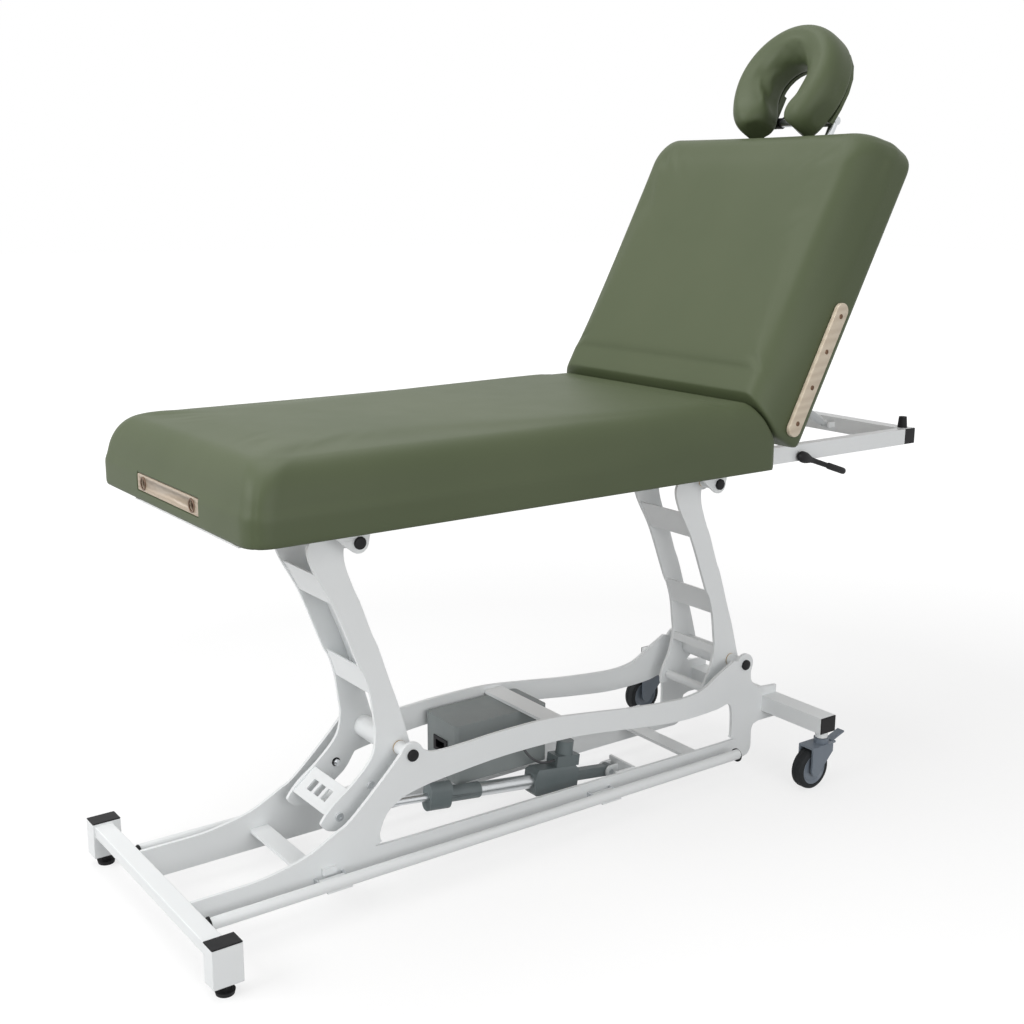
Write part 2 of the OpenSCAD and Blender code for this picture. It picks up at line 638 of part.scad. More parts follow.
// Foot bars: a long tube on two arms that rock on pins beside the side plate
arm_l = 56;
arm_t = 6;
arm_shares = [0.2, 0.71];
hinge_pin_r = 4;
hinge_pin_out = 14;
hinge_pin_y = base_w / 2 + hinge_pin_out;
bar_hinge_z = pedal_bar_h - pedal_bar_d / 2;
knuckle_r = 8;
ear_t = 5;
bar_x0 = foot_x + pedal_bar_start;
function arm_x(s) = bar_x0 + s * pedal_bar_l;
module foot_bar() {
    color(frame_color) {
        translate([0, -pedal_bar_y, pedal_bar_h]) difference() {
            along(pedal_bar_d / 2, bar_x0 + end_cap_t, pedal_bar_l - 2 * end_cap_t);
            along(pedal_bar_d / 2 - tube_wall, bar_x0, pedal_bar_l);
        }
        for (s = arm_shares) difference() {
            union() {
                box([arm_x(s) - arm_l / 2, -pedal_bar_y, bar_hinge_z - arm_t],
                    [arm_x(s) + arm_l / 2, -hinge_pin_y, bar_hinge_z + arm_t / 4]);
                translate([0, -hinge_pin_y, bar_hinge_z]) along(knuckle_r, arm_x(s) - arm_l / 2, arm_l);
            }
            translate([0, -hinge_pin_y, bar_hinge_z])
                along(hinge_pin_r + run_gap, arm_x(s) - arm_l / 2 - over, arm_l + 2 * over);
            translate([0, -pedal_bar_y, pedal_bar_h])
                along(pedal_bar_d / 2, arm_x(s) - arm_l, 2 * arm_l);
        }
    }
    color(black) translate([0, -pedal_bar_y, pedal_bar_h])
        for (x = [bar_x0, bar_x0 + pedal_bar_l - end_cap_t]) along(pedal_bar_d / 2, x, end_cap_t);
}
module left_foot_bar() foot_bar();
module right_foot_bar() mirror([0, 1, 0]) foot_bar();
module foot_bar_hinges() color(steel) both_sides() for (s = arm_shares) {
    translate([0, -hinge_pin_y, bar_hinge_z])
        along(hinge_pin_r, arm_x(s) - arm_l / 2 - soft_gap - ear_t, arm_l + 2 * (soft_gap + ear_t));
    for (x = [arm_x(s) - arm_l / 2 - soft_gap - ear_t, arm_x(s) + arm_l / 2 + soft_gap]) difference() {
        union() {
            box([x, -hinge_pin_y, bar_hinge_z - knuckle_r],
                [x + ear_t, -base_w / 2, bar_hinge_z + knuckle_r]);
            translate([0, -hinge_pin_y, bar_hinge_z]) along(knuckle_r, x, ear_t);
        }
        translate([0, -hinge_pin_y, bar_hinge_z]) along(hinge_pin_r, x - over, ear_t + 2 * over);
    }
}
// Switches over the arms, one for each arm at the foot end
switch_size = [30, 9, 14];
switch_rise = 3;
module foot_switches() color(black) both_sides()
    translate([arm_x(arm_shares[0]) - switch_size[0] / 2, -base_w / 2 - switch_size[1],
        bar_hinge_z + knuckle_r + switch_rise])
        cube(switch_size);

// Casters, drawn with the swivel axis through the origin
fork_t = 5;
fork_gap = 2;
crown_gap = 3;
crown_z = wheel_d + crown_gap;
swivel_top = head_bar_low - caster_socket_h - soft_gap * 2;
wheel_at = [-caster_trail, 0, wheel_d / 2];
wheel_axle_r = 5;
fork_boss_r = 16;
module at_caster(side) translate([head_bar_x, side * caster_y, 0]) children();
module caster_fork() {
    half = wheel_w / 2 + fork_gap;
    color(black) translate([0, 0, crown_z + fork_t])
        cylinder(r = swivel_r, h = swivel_top - crown_z - fork_t, $fn = round_fn);
    color(steel) translate([0, 0, swivel_top - over])
        cylinder(r = caster_stem_r, h = caster_socket_h + soft_gap * 2 + over, $fn = round_fn);
    color(hub_blue) {
        box([-caster_trail - fork_boss_r, -half - fork_t, crown_z],
            [swivel_r, half + fork_t, crown_z + fork_t]);
        both_sides() {
            upright(-half - fork_t, fork_t) polygon([
                [-caster_trail - fork_boss_r, wheel_at[2]], [-caster_trail - fork_boss_r, crown_z],
                [swivel_r, crown_z], [swivel_r, crown_z - fork_boss_r],
                [fork_boss_r - caster_trail, wheel_at[2] - fork_boss_r * 0.2]]);
            across(wheel_at, fork_boss_r, fork_t, -half - fork_t / 2);
        }
        across(wheel_at, wheel_axle_r, 2 * half);
    }
}
tyre_t = 16;
module caster_wheel() {
    color(black) difference() {
        union() {
            across(wheel_at, wheel_d / 2, wheel_w * 0.7);
            across(wheel_at, wheel_d / 2 - wheel_w * 0.1, wheel_w);
        }
        across(wheel_at, wheel_d / 2 - tyre_t, wheel_w + 2 * over);
    }
    color(hub_blue) difference() {
        across(wheel_at, wheel_d / 2 - tyre_t, wheel_w);
        across(wheel_at, wheel_axle_r + run_gap, wheel_w + 2 * over);
    }
}
pedal_l = 46;
pedal_w = 24;
pedal_t = 4;
pedal_edge = 2;
pedal_rise = 16;
pedal_pin_r = 3;
pedal_at = [swivel_r + pedal_pin_r * 3, 0, crown_z + fork_t / 2];
module caster_pedal() color(steel) translate(pedal_at) {
    rotate([0, -atan(pedal_rise / pedal_l), 0])
        box([0, pedal_edge - pedal_w / 2, -pedal_t / 2], [pedal_l, pedal_w / 2 - pedal_edge, pedal_t / 2]);
    across([0, 0, 0], pedal_pin_r * 1.5, pedal_w);
}
// Ears that carry the pedal's pin on the fork
module pedal_ears() color(hub_blue) {
    both_sides() difference() {
        box([swivel_r - over, -pedal_w / 2 - soft_gap - fork_t, crown_z],
            [pedal_at[0] + pedal_pin_r * 2, -pedal_w / 2 - soft_gap, crown_z + fork_t]);
        across(pedal_at, pedal_pin_r * 0.6, wheel_d);
    }
    both_sides() across(pedal_at, pedal_pin_r * 0.6, fork_t, -pedal_w / 2 - soft_gap - fork_t / 2);
}
module whole_fork() {
    caster_fork();
    pedal_ears();
}
module left_caster_fork() at_caster(-1) whole_fork();
module left_caster_wheel() at_caster(-1) caster_wheel();
module left_caster_pedal() at_caster(-1) caster_pedal();
module right_caster_fork() at_caster(1) whole_fork();
module right_caster_wheel() at_caster(1) caster_wheel();
module right_caster_pedal() at_caster(1) caster_pedal();

// Legs: outlines as shares, sideways from the line between the pivots and up it, of leg_rise
leg_head_shares = [[0.059, 0.013], [0.05, 0.196], [0.038, 0.305], [0.022, 0.48], [0.007, 0.559],
    [-0.01, 0.703], [-0.024, 0.768], [-0.036, 0.88], [-0.02, 0.96], [0.03, 1.03]];
leg_foot_shares = [[-0.06, 1.05], [-0.13, 1.03], [-0.19, 0.97], [-0.188, 0.871], [-0.145, 0.731],
    [-0.124, 0.624], [-0.095, 0.424], [-0.08, 0.37], [-0.074, 0.28], [-0.086, 0.161],
    [-0.097, 0.086], [-0.145, -0.019]];
// Crank outlines as shares of the crank pin's distance behind and below the pivot
crank_shares = [[0.771, 0.479], [1.09, 0.769], [1.264, 1.0], [1.278, 1.09], [1.16, 1.222],
    [0.917, 1.265], [0.806, 1.154], [0.354, 0.795], [0.125, 0.42], [-0.14, 0.2]];
stub_shares = [[0.556, 0.325], [0.62, 0.5], [0.62, 0.76], [0.45, 0.74], [0.27, 0.6],
    [0.08, 0.38], [-0.13, 0.2]];
function leg_points(shares) = [for (s = shares) [s[0] * leg_rise - leg_lean * s[1], s[1] * leg_rise]];
function arm_points(shares) = [for (s = shares) [-s[0] * crank_back, -s[1] * crank_drop]];
function leg_outline(shares) = concat(through(leg_points(leg_head_shares)),
    through(concat(leg_points(leg_foot_shares), arm_points(shares))));

bolt_back_share = 0.48;
bolt_drop_share = 0.58;
bolt_r = 6;
bush_r = axle_r + bush_wall;
module at(p) translate([p[0], 0, p[2]]) children();
module leg_plates(shares) both_sides() difference() {
    union() {
        upright(-leg_w / 2, leg_plate_t) polygon(leg_outline(shares));
        across([0, 0, 0], leg_boss_r, leg_plate_t, leg_plate_t / 2 - leg_w / 2);
        across(leg_reach, top_boss_r, leg_plate_t, leg_plate_t / 2 - leg_w / 2);
    }
    across([0, 0, 0], bush_r, 2 * leg_w);
    across(leg_reach, bush_r, 2 * leg_w);
    across([-crank_back * bolt_back_share, 0, -crank_drop * bolt_drop_share], bolt_r, 2 * leg_w);
}
// A rung between two heights of a leg's foot edge, given as shares of leg_rise
rung_shares = [[0.71, 0.85], [0.275, 0.405]];
function edge_x(h) = lookup(h, [for (s = reversed(leg_foot_shares)) if (s[1] < 0.98) [s[1], s[0]]])
    * leg_rise - leg_lean * h;
module rung(low, high) upright(-leg_in, 2 * leg_in) polygon(concat(
    [for (k = [0 : 2]) let (h = part_way(low, high, k / 2)) [edge_x(h) + web_t / 2, h * leg_rise]],
    [for (k = [2 : -1 : 0]) let (h = part_way(low, high, k / 2)) [edge_x(h) + web_t * 1.5, h * leg_rise]]));
// The web behind a leg's head edge
back_web_shares = [[0.05, 0.196], [0.038, 0.305], [0.022, 0.48], [0.007, 0.559],
    [-0.01, 0.703], [-0.024, 0.768], [-0.036, 0.86]];
module back_web() upright(-leg_in, 2 * leg_in) polygon(concat(
    shifted(through(leg_points(back_web_shares)), -web_t, 0),
    reversed(shifted(through(leg_points(back_web_shares)), -2 * web_t, 0))));
module pivot_tubes() {
    difference() {
        across([0, 0, 0], pivot_tube_r, 2 * leg_in);
        across([0, 0, 0], bush_r, 2 * leg_w);
    }
    difference() {
        across(leg_reach, top_boss_r - web_t / 2, 2 * leg_in);
        across(leg_reach, bush_r, 2 * leg_w);
    }
}
// Slotted web across the crank's upper edge
slot_count = 3;
slot_l = 26;
slot_w = 20;
crank_web_shares = [[0.83, 0.56], [1.2, 0.93]];
module crank_web() {
    a = arm_points(crank_web_shares)[0];
    b = arm_points(crank_web_shares)[1];
    l = norm(b - a);
    translate([a[0], 0, a[1]]) rotate([0, atan2(a[1] - b[1], b[0] - a[0]), 0]) difference() {
        translate([0, -leg_in, 0]) cube([l, 2 * leg_in, web_t]);
        for (i = [0 : slot_count - 1])
            translate([l / 2 - slot_l / 2, (i + 0.5 - slot_count / 2) * (slot_w * 1.5) - slot_w / 2, -over])
                cube([slot_l, slot_w, web_t + 2 * over]);
    }
}
module bush(p, r) both_sides() difference() {
    union() {
        across(p, bush_r, bush_l, bush_l / 2 - leg_w / 2);
        across(p, bush_r + bush_flange_t, bush_flange_t, -leg_w / 2 - bush_flange_t / 2);
    }
    across(p, r, 3 * bush_l, -leg_w / 2);
}
module foot_leg_plates() color(frame_color) at(foot_pivot) leg_plates(crank_shares);
module foot_leg_webs() color(frame_color) at(foot_pivot) {
    for (r = rung_shares) rung(r[0], r[1]);
    back_web();
    crank_web();
    pivot_tubes();
}
module foot_leg_bushes() color(bronze) at(foot_pivot) {
    bush([0, 0, 0], axle_r + run_gap);
    bush(leg_reach, axle_r + run_gap);
}
module crank_bolts() color(steel) at(foot_pivot) {
    across([-crank_back * bolt_back_share, 0, -crank_drop * bolt_drop_share], bolt_r, leg_w);
    both_sides() {
        across([-crank_back * bolt_back_share, 0, -crank_drop * bolt_drop_share], bolt_r * 1.6,
            leg_plate_t / 2, -leg_w / 2 - leg_plate_t / 4);
        across(crank_reach, bolt_r * 1.6, leg_plate_t / 2, -leg_w / 2 - leg_plate_t / 4);
    }
}
head_rung_shares = [[0.71, 0.85], [0.275, 0.405], [0.05, 0.09]];
module head_leg_plates() color(frame_color) at(head_pivot) leg_plates(stub_shares);
module head_leg_webs() color(frame_color) at(head_pivot) {
    for (r = head_rung_shares) rung(r[0], r[1]);
    pivot_tubes();
    difference() {
        across([-crank_back * bolt_back_share, 0, -crank_drop * bolt_drop_share], bolt_r * 1.8, 2 * leg_in);
        across([-crank_back * bolt_back_share, 0, -crank_drop * bolt_drop_share], bolt_r, 2 * leg_w);
    }
}
module head_leg_bushes() color(bronze) at(head_pivot) {
    bush([0, 0, 0], axle_r + run_gap);
    bush(leg_reach, axle_r + open_pivot_gap);
}

// Top frame: two rails, a crossbar at each end and two over each pair of lugs
lug_foot = 104;
lug_head = 28;
cross_l = 40;
frame_half = frame_w / 2;
module square_tube(low, high, axis) difference() {
    box(low, high);
    cut = [for (i = [0 : 2]) i == axis ? -over : tube_wall];
    box(low + cut, high - cut);
}
function lug_cross_x(p) = [p[0] - lug_foot, p[0] + lug_head - cross_l];
module top_frame() color(frame_color) {
    difference() {
        both_sides() square_tube([rail_x0, -frame_half, rail_low],
            [head_cross_x, rail_w - frame_half, rail_top], 0);
        lever_bore();
    }
    square_tube([head_cross_x, end_cap_t - frame_half, rail_low],
        [head_x, frame_half - end_cap_t, rail_top], 1);
    for (x = concat([rail_x0], lug_cross_x(foot_top_pivot), lug_cross_x(head_top_pivot)))
        square_tube([x, rail_w - frame_half, rail_low], [x + cross_l, frame_half - rail_w, rail_top], 1);
    strut_fork();
}
// Fork for the gas strut on the head crossbar
module strut_fork() {
    both_sides() difference() {
        union() {
            box([strut_foot[0], -strut_fork_y, strut_foot[2] - strut_eye_r],
                [head_cross_x, strut_fork_t - strut_fork_y, strut_foot[2] + strut_eye_r]);
            across(strut_foot, strut_eye_r, strut_fork_t, strut_fork_t / 2 - strut_fork_y);
        }
        across(strut_foot, strut_pin_r, frame_w);
    }
    across(strut_foot, strut_pin_r, 2 * strut_fork_y);
}
module lug(p) upright(-base_w / 2, plate_t) polygon(concat(
    [[p[0] - lug_foot, rail_low], [p[0] + lug_head, rail_low]],
    through([[p[0] + lug_head, part_way(p[2], rail_low, 0.5)], [p[0] + top_boss_r, p[2]]]),
    [for (a = [0 : 15 : 120]) [p[0] + top_boss_r * cos(a), p[2] - top_boss_r * sin(a)]],
    through([[p[0] - top_boss_r * 1.6, p[2]], [p[0] - lug_foot * 0.7, part_way(p[2], rail_low, 0.6)],
        [p[0] - lug_foot, part_way(p[2], rail_low, 0.85)]])));
module frame_lugs() color(frame_color) both_sides()
    for (p = [foot_top_pivot, head_top_pivot]) difference() {
        lug(p);
        across(p, axle_r, 2 * base_w);
    }
module frame_end_caps() color(black) both_sides() {
    box([head_cross_x, -frame_half, rail_low], [head_x, end_cap_t - frame_half, rail_top]);
    box([head_cross_x + tube_wall, end_cap_t - frame_half, rail_low + tube_wall],
        [head_x - tube_wall, end_cap_t + plug_l / 2 - frame_half, rail_top - tube_wall]);
}
module bumpers() color(black) both_sides()
    translate([head_x - rail_h / 2, rail_w - frame_half, rail_top])
        cylinder(d1 = bumper_d, d2 = bumper_d * 0.8, h = batten_h - soft_gap, $fn = round_fn);
module upper_axles() {
    for (p = [foot_top_pivot, head_top_pivot]) axle(p);
    color(frame_color) for (p = [foot_top_pivot, head_top_pivot]) spacer(p);
}

// Pads and decks are drawn flat, from the hinge line at x = 0 to their outer end at x = l
corner_n = 4;
side_n = 5;
round_n = 6;
hinge_corner_r = 14;
round_drop = 8;
side_draw = 4;
hem_r = 2;
round_low = deck_top - round_drop;
crown_shares = [0.75, 0.5, 0.25, 0.06];
corner_growth_share = 0.3;
inward_unit = [[0, 1], [-1, 0], [0, -1], [1, 0]];
deck_gap = cushion_gap + side_pad;
rail_clear = 6;
rail_clear_y = [-frame_half - rail_clear, frame_half + rail_clear];

// A closed skin over rings of points, all with the same count, with a fan at each end
function middle(ring) = [for (p = ring) 1] * ring / len(ring);
module skin(rings) {
    n = len(rings[0]);
    m = len(rings);
    last = (m - 1) * n;
    polyhedron(concat([for (r = rings) each r], [middle(rings[0]), middle(rings[m - 1])]), concat(
        [for (i = [0 : n - 1]) [m * n, i, (i + 1) % n]],
        [for (i = [0 : n - 1]) [last + i, m * n + 1, last + (i + 1) % n]],
        [for (j = [0 : m - 2], i = [0 : n - 1]) each
            [[j * n + i, (j + 1) * n + i, (j + 1) * n + (i + 1) % n],
             [j * n + i, (j + 1) * n + (i + 1) % n, j * n + (i + 1) % n]]]));
}
function round_at(c, a) = [c[0] + c[2] * cos(a), c[1] + c[2] * sin(a)];
// A level outline of a pad, inset from its sides, whose long sides are drawn in by pull
function pad_ring(l, r, inset, z, pull = 0, at_hinge = 0) = let (
        x0 = cushion_gap + inset + at_hinge, x1 = l - inset, half = couch_w / 2 - inset,
        r0 = max(hinge_corner_r - inset, hem_r), r1 = max(r, hem_r),
        c = [[x0 + r0, r0 - half, r0], [x1 - r1, r1 - half, r1],
             [x1 - r1, half - r1, r1], [x0 + r0, half - r0, r0]])
    [for (i = [0 : 3]) each concat(
        [for (k = [0 : corner_n]) concat(round_at(c[i], 180 + 90 * (i + k / corner_n)), z)],
        [for (k = [1 : side_n]) let (a = 270 + 90 * i, t = k / (side_n + 1))
            concat(part_way(round_at(c[i], a), round_at(c[(i + 1) % 4], a), t)
                + inward_unit[i] * pull * sin(180 * t), z)])];
function shrunk(ring, cx, s) = [for (p = ring)
    [cx + (p[0] - cx) * s, p[1] * s, p[2] + crown_h * (1 - s * s)]];
// Set-back that keeps a height of the raised cushions' hinge edges apart
function at_bisector(z) = max(0, z - hinge[2]) * tan(back_angle / 2);
function rounding(l, r, foam, a) = let (
        inset = edge_round * (1 - cos(a)), z = round_low + (foam + round_drop) * sin(a))
    pad_ring(l, r + inset * corner_growth_share, inset, z, side_draw * sin(a),
        at_bisector(z) + crease_round * pow(1 - cos(a), 2) - inset);

// A cushion: its skirt hangs round the deck, its edge is rounded and its top crowned
module pad(l, r, foam) difference() {
    skin(concat(
        [for (s = [[side_pad, deck_top], [side_pad, skirt_low], [hem_r, skirt_low], [0, skirt_low + hem_r]])
            pad_ring(l, r - s[0], s[0], s[1])],
        [for (k = [0 : round_n]) rounding(l, r, foam, 90 * k / round_n)],
        [for (s = crown_shares) shrunk(rounding(l, r, foam, 90), (l + cushion_gap) / 2, s)]));
    rail_way();
    hinge_pockets();
    box([l - 2 * side_pad, -block_half, block_low], [l + over, block_half, block_low + block_h]);
}
// Room for the rails under the hinge end
module rail_way() box([-over, rail_clear_y[0], skirt_low - over],
    [deck_gap + edge_t + over, rail_clear_y[1], rail_top + soft_gap]);

module deck_plan(l, r, inset) polygon([for (p = pad_ring(l, r - inset, inset, 0)) [p[0], p[1]]]);
module deck(l, r) difference() {
    union() {
        translate([0, 0, ply_low]) linear_extrude(ply_t) deck_plan(l, r, side_pad);
        difference() {
            translate([0, 0, skirt_low]) linear_extrude(edge_h) deck_plan(l, r, side_pad);
            translate([0, 0, skirt_low - over]) linear_extrude(edge_h + 2 * over)
                deck_plan(l, r, side_pad + edge_t);
        }
    }
    rail_way();
    block_space(l);
}

// Wooden block with the accessory sockets
socket_depth = 130;
block_h = 36;
block_wall = 8;
block_low = rail_top + soft_gap;
block_margin = 30.5;
block_half = socket_pitch / 2 + block_margin;
socket_z = block_low + block_h / 2;
module block_space(l) box([l - side_pad - socket_depth - block_wall, -block_half, block_low],
    [l - side_pad, block_half, block_low + block_h]);
module end_block(l) difference() {
    block_space(l);
    both_sides() translate([l - side_pad - socket_depth, -socket_pitch / 2, socket_z])
        rotate([0, 90, 0]) cylinder(d = socket_d, h = socket_depth + over, $fn = round_fn);
}

// Hinges between the decks: leaves on their end faces, with knuckles over the deck tops
hinge_place_shares = [-0.36, 0, 0.36];
leaf_w = 60;
leaf_t = 3;
leaf_h = 44;
knuckle_w = 20;
knuckle_out_r = 5;
knuckle_pin_r = 2.5;
pocket_gap = 1.5;
module hinge_pockets() for (s = hinge_place_shares) translate([0, s * couch_w, hinge[2]])
    box([-over, -leaf_w / 2 - pocket_gap, -leaf_h - pocket_gap],
        [deck_gap, leaf_w / 2 + pocket_gap, knuckle_out_r + pocket_gap]);
module leaves(knuckles, w, bore_r) for (s = hinge_place_shares) translate([0, s * couch_w, hinge[2]]) {
    box([deck_gap - leaf_t, -leaf_w / 2, -leaf_h], [deck_gap, leaf_w / 2, leaf_t - knuckle_out_r]);
    for (y = knuckles) difference() {
        union() {
            across([0, 0, 0], knuckle_out_r, w, y);
            box([0, y - w / 2, -knuckle_out_r], [deck_gap, y + w / 2, leaf_t - knuckle_out_r]);
        }
        across([0, 0, 0], bore_r, w + 2 * over, y);
    }
}
module on_seat() translate([hinge[0], 0, 0]) mirror([1, 0, 0]) children();
module on_back() translate(hinge) rotate([0, -back_angle, 0]) translate([0, 0, -hinge[2]]) children();

seat_full_l = hinge[0] - seat_x0;
// Square inside corners, and hairline joints between the seat deck's boards
joint_gap = 0.2;
deck_in = couch_w / 2 - side_pad - edge_t;
module board_joints(l) {
    box([-over, -couch_w / 2, ply_low - joint_gap], [l, couch_w / 2, ply_low]);
    box([deck_gap + edge_t, -deck_in, skirt_low - over], [l - side_pad - edge_t, deck_in, ply_low]);
    both_sides() box([-over, -deck_in - joint_gap, skirt_low - over], [l, -deck_in, ply_low]);
    both_sides() box([l - side_pad - edge_t - over, -block_half - joint_gap, skirt_low - over],
        [l, -block_half, ply_low]);
}
module seat_deck() color(wood) {
    difference() {
        on_seat() deck(seat_full_l, corner_r);
        on_seat() board_joints(seat_full_l);
    }
    both_sides() box([rail_x0 + edge_t, -frame_half, rail_top],
        [hinge[0] - deck_gap - edge_t - joint_gap, rail_w - frame_half, ply_low - joint_gap]);
}
module seat_cushion() color(vinyl) on_seat() difference() {
    pad(seat_full_l, corner_r, foam_t);
    both_sides() box([seat_full_l - 2 * side_pad, -block_half - joint_gap, skirt_low - over],
        [seat_full_l + over, -block_half, block_low + over]);
}
module foot_end_block() color(wood) on_seat() end_block(seat_full_l);
module seat_hinge_leaves() color(steel) on_seat() {
    leaves([-knuckle_w, knuckle_w], knuckle_w, knuckle_pin_r);
    for (s = hinge_place_shares) across(hinge_line(), knuckle_pin_r, leaf_w, s * couch_w);
}
function hinge_line() = [0, 0, hinge[2]];

// Backrest
back_corner_r = 55;
module back_deck() color(wood) on_back() difference() {
    union() {
        deck(back_l, back_corner_r);
        end_block(back_l);
    }
    strip_screws(screw_r, screw_head_r);
}
module back_cushion() color(vinyl) on_back() difference() {
    pad(back_l, back_corner_r, back_foam_t);
    strip_screws(screw_r, screw_head_r);
}
strip_start = 18;
strip_l = 314;
strip_w = 36;
strip_t = 11;
strip_under_hinge = 27;
screw_place_shares = [0.096, 0.366, 0.636, 0.904];
screw_r = 2.5;
screw_head_r = 4.5;
screw_head_t = 3;
screw_proud = 1;
screw_in = 14;
strip_z = hinge[2] - strip_under_hinge;
module strip_screws(r, head_r) both_sides() for (s = screw_place_shares)
    translate([strip_start + s * strip_l, -couch_w / 2 - strip_t, strip_z]) rotate([-90, 0, 0]) {
        cylinder(r = r, h = strip_t + side_pad + screw_in, $fn = round_fn);
        translate([0, 0, -screw_proud]) cylinder(r = head_r, h = screw_head_t, $fn = round_fn);
    }
module side_strips() color(wood) on_back() difference() {
    both_sides() upright(-couch_w / 2 - strip_t, strip_t) {
        translate([strip_start + strip_w / 2, strip_z - strip_w / 2]) square([strip_l - strip_w, strip_w]);
        for (x = [strip_start + strip_w / 2, strip_start + strip_l - strip_w / 2])
            translate([x, strip_z]) circle(r = strip_w / 2, $fn = round_fn);
    }
    strip_screws(screw_r, screw_head_r);
}
module side_strip_screws() color(steel) on_back() strip_screws(screw_r, screw_head_r);
// Steel under the back: its hinge leaves and the bracket that the strut pushes on
module back_fittings() color(steel) on_back() {
    leaves([0], knuckle_w - 2 * soft_gap, knuckle_pin_r + run_gap);
    both_sides() difference() {
        union() {
            box([strut_reach - strut_ear_l, -strut_fork_y - strut_ear_flange, ply_low - strut_fork_t],
                [strut_reach + strut_ear_l, strut_fork_t - strut_fork_y, ply_low]);
            box([strut_reach - strut_eye_r, -strut_fork_y, hinge[2] - strut_drop],
                [strut_reach + strut_eye_r, strut_fork_t - strut_fork_y, ply_low]);
            across([strut_reach, 0, hinge[2] - strut_drop], strut_eye_r, strut_fork_t,
                strut_fork_t / 2 - strut_fork_y);
        }
        across([strut_reach, 0, hinge[2] - strut_drop], strut_pin_r, frame_w);
    }
}

// Gas strut between the top frame and the back, with its foot at the origin
strut_reach = 200;
strut_drop = 43;
strut_ear_l = 22;
strut_ear_flange = 18;
strut_foot_back = 17;
strut_eye_r = 7;
strut_pin_r = 4;
strut_fork_y = 16;
strut_fork_t = 5;
strut_body_r = 11;
strut_chamber_r = 8;
strut_rod_r = 5;
strut_body_l = 215;
strut_neck_l = 24;
strut_gland_l = 10;
strut_inside = 30;
strut_piston_l = 6;
strut_foot = [head_cross_x - strut_foot_back, 0, rail_low + rail_h / 2];
strut_top = hinge + turned([strut_reach, 0, -strut_drop], -back_angle);
strut_long = norm(strut_top - strut_foot);
function strut_lift(p) = atan2(p[2] - strut_foot[2], strut_foot[0] - p[0]);
eye_half_w = strut_fork_y - strut_fork_t - 2 * soft_gap;
module on_strut() translate(strut_foot) rotate([0, strut_lift(strut_top), 0]) children();
module strut_body() color(black) on_strut() difference() {
    union() {
        along(strut_body_r, -strut_body_l, strut_body_l - strut_neck_l);
        along(strut_rod_r, -strut_neck_l - over, strut_neck_l + over - strut_pin_r - over);
        across([0, 0, 0], strut_eye_r, 2 * eye_half_w);
    }
    along(strut_chamber_r, strut_gland_l - strut_body_l,
        strut_body_l - strut_neck_l - 2 * strut_gland_l);
    along(strut_rod_r + run_gap, -strut_body_l - over, strut_gland_l + 2 * over);
    across([0, 0, 0], strut_pin_r + run_gap, strut_body_l);
}
// The rod's pin stops short of its bracket, because the linkage is open here
module strut_rod() color(steel) on_strut() {
    along(strut_rod_r, -strut_long, strut_long - strut_body_l + strut_inside);
    along(strut_chamber_r - soft_gap, strut_inside - strut_body_l, strut_piston_l);
    across([-strut_long, 0, 0], strut_eye_r, eye_half_w);
    across([-strut_long, 0, 0], strut_pin_r, 2 * eye_half_w);
}

// Release lever on the left rail, at the foot of the backrest
lever_from_foot = 1520;
lever_over_rail = 11;
lever_l = 160;
lever_droop = 19;
lever_hub_r = 11;
lever_hub_t = 17;
lever_shaft_r = 5;
lever_collar_t = 3;
lever_arm_w = 14;
lever_arm_t = 6;
lever_grip_l = 62;
lever_grip_r = 8;
lever_at = [foot_x + lever_from_foot, 0, rail_low + lever_over_rail];
lever_y = -frame_half - soft_gap - lever_hub_t / 2;
module lever_bore() across(lever_at, lever_shaft_r + run_gap, rail_w + 2 * over, rail_w / 2 - frame_half);
module release_lever() color(black) {
    across(lever_at, lever_hub_r, lever_hub_t, lever_y);
    across(lever_at, lever_shaft_r, rail_w + lever_hub_t, rail_w / 2 - frame_half);
    across(lever_at, lever_shaft_r * 1.6, lever_collar_t,
        rail_w - frame_half + soft_gap + lever_collar_t / 2);
    translate([lever_at[0], lever_y, lever_at[2]]) rotate([0, lever_droop, 0]) {
        box([0, -lever_arm_t / 2, -lever_arm_w / 2],
            [lever_l - lever_grip_l + over, lever_arm_t / 2, lever_arm_w / 2]);
        along(lever_grip_r, lever_l - lever_grip_l, lever_grip_l);
    }
}

// Face cradle in the back's head end: two prongs, a platform that tilts on their crossbar
prong_in = 100;
prong_out = 67;
prong_r = socket_d / 2 - run_gap;
prong_cross_x = back_l + prong_out;
face_from_hinge = back_l + face_past_back;
face_rise = -5;
face_low = hinge[2] + face_rise;
face_mid_r = (face_r + face_hole_r) / 2;
face_half_w = (face_r - face_hole_r) / 2;
face_narrow = 10;
face_limb_l = 73;
face_plate_t = 10;
face_plate_inset = 6;
sleeve_r = 13;
sleeve_y = [70, 100];
sleeve_ear_l = 70;
module cradle_frame() color(black) on_back() {
    both_sides() translate([0, -socket_pitch / 2, socket_z])
        along(prong_r, back_l - side_pad - prong_in, prong_in + side_pad + prong_out);
    across([prong_cross_x, 0, socket_z], prong_r, socket_pitch + 2 * prong_r);
}
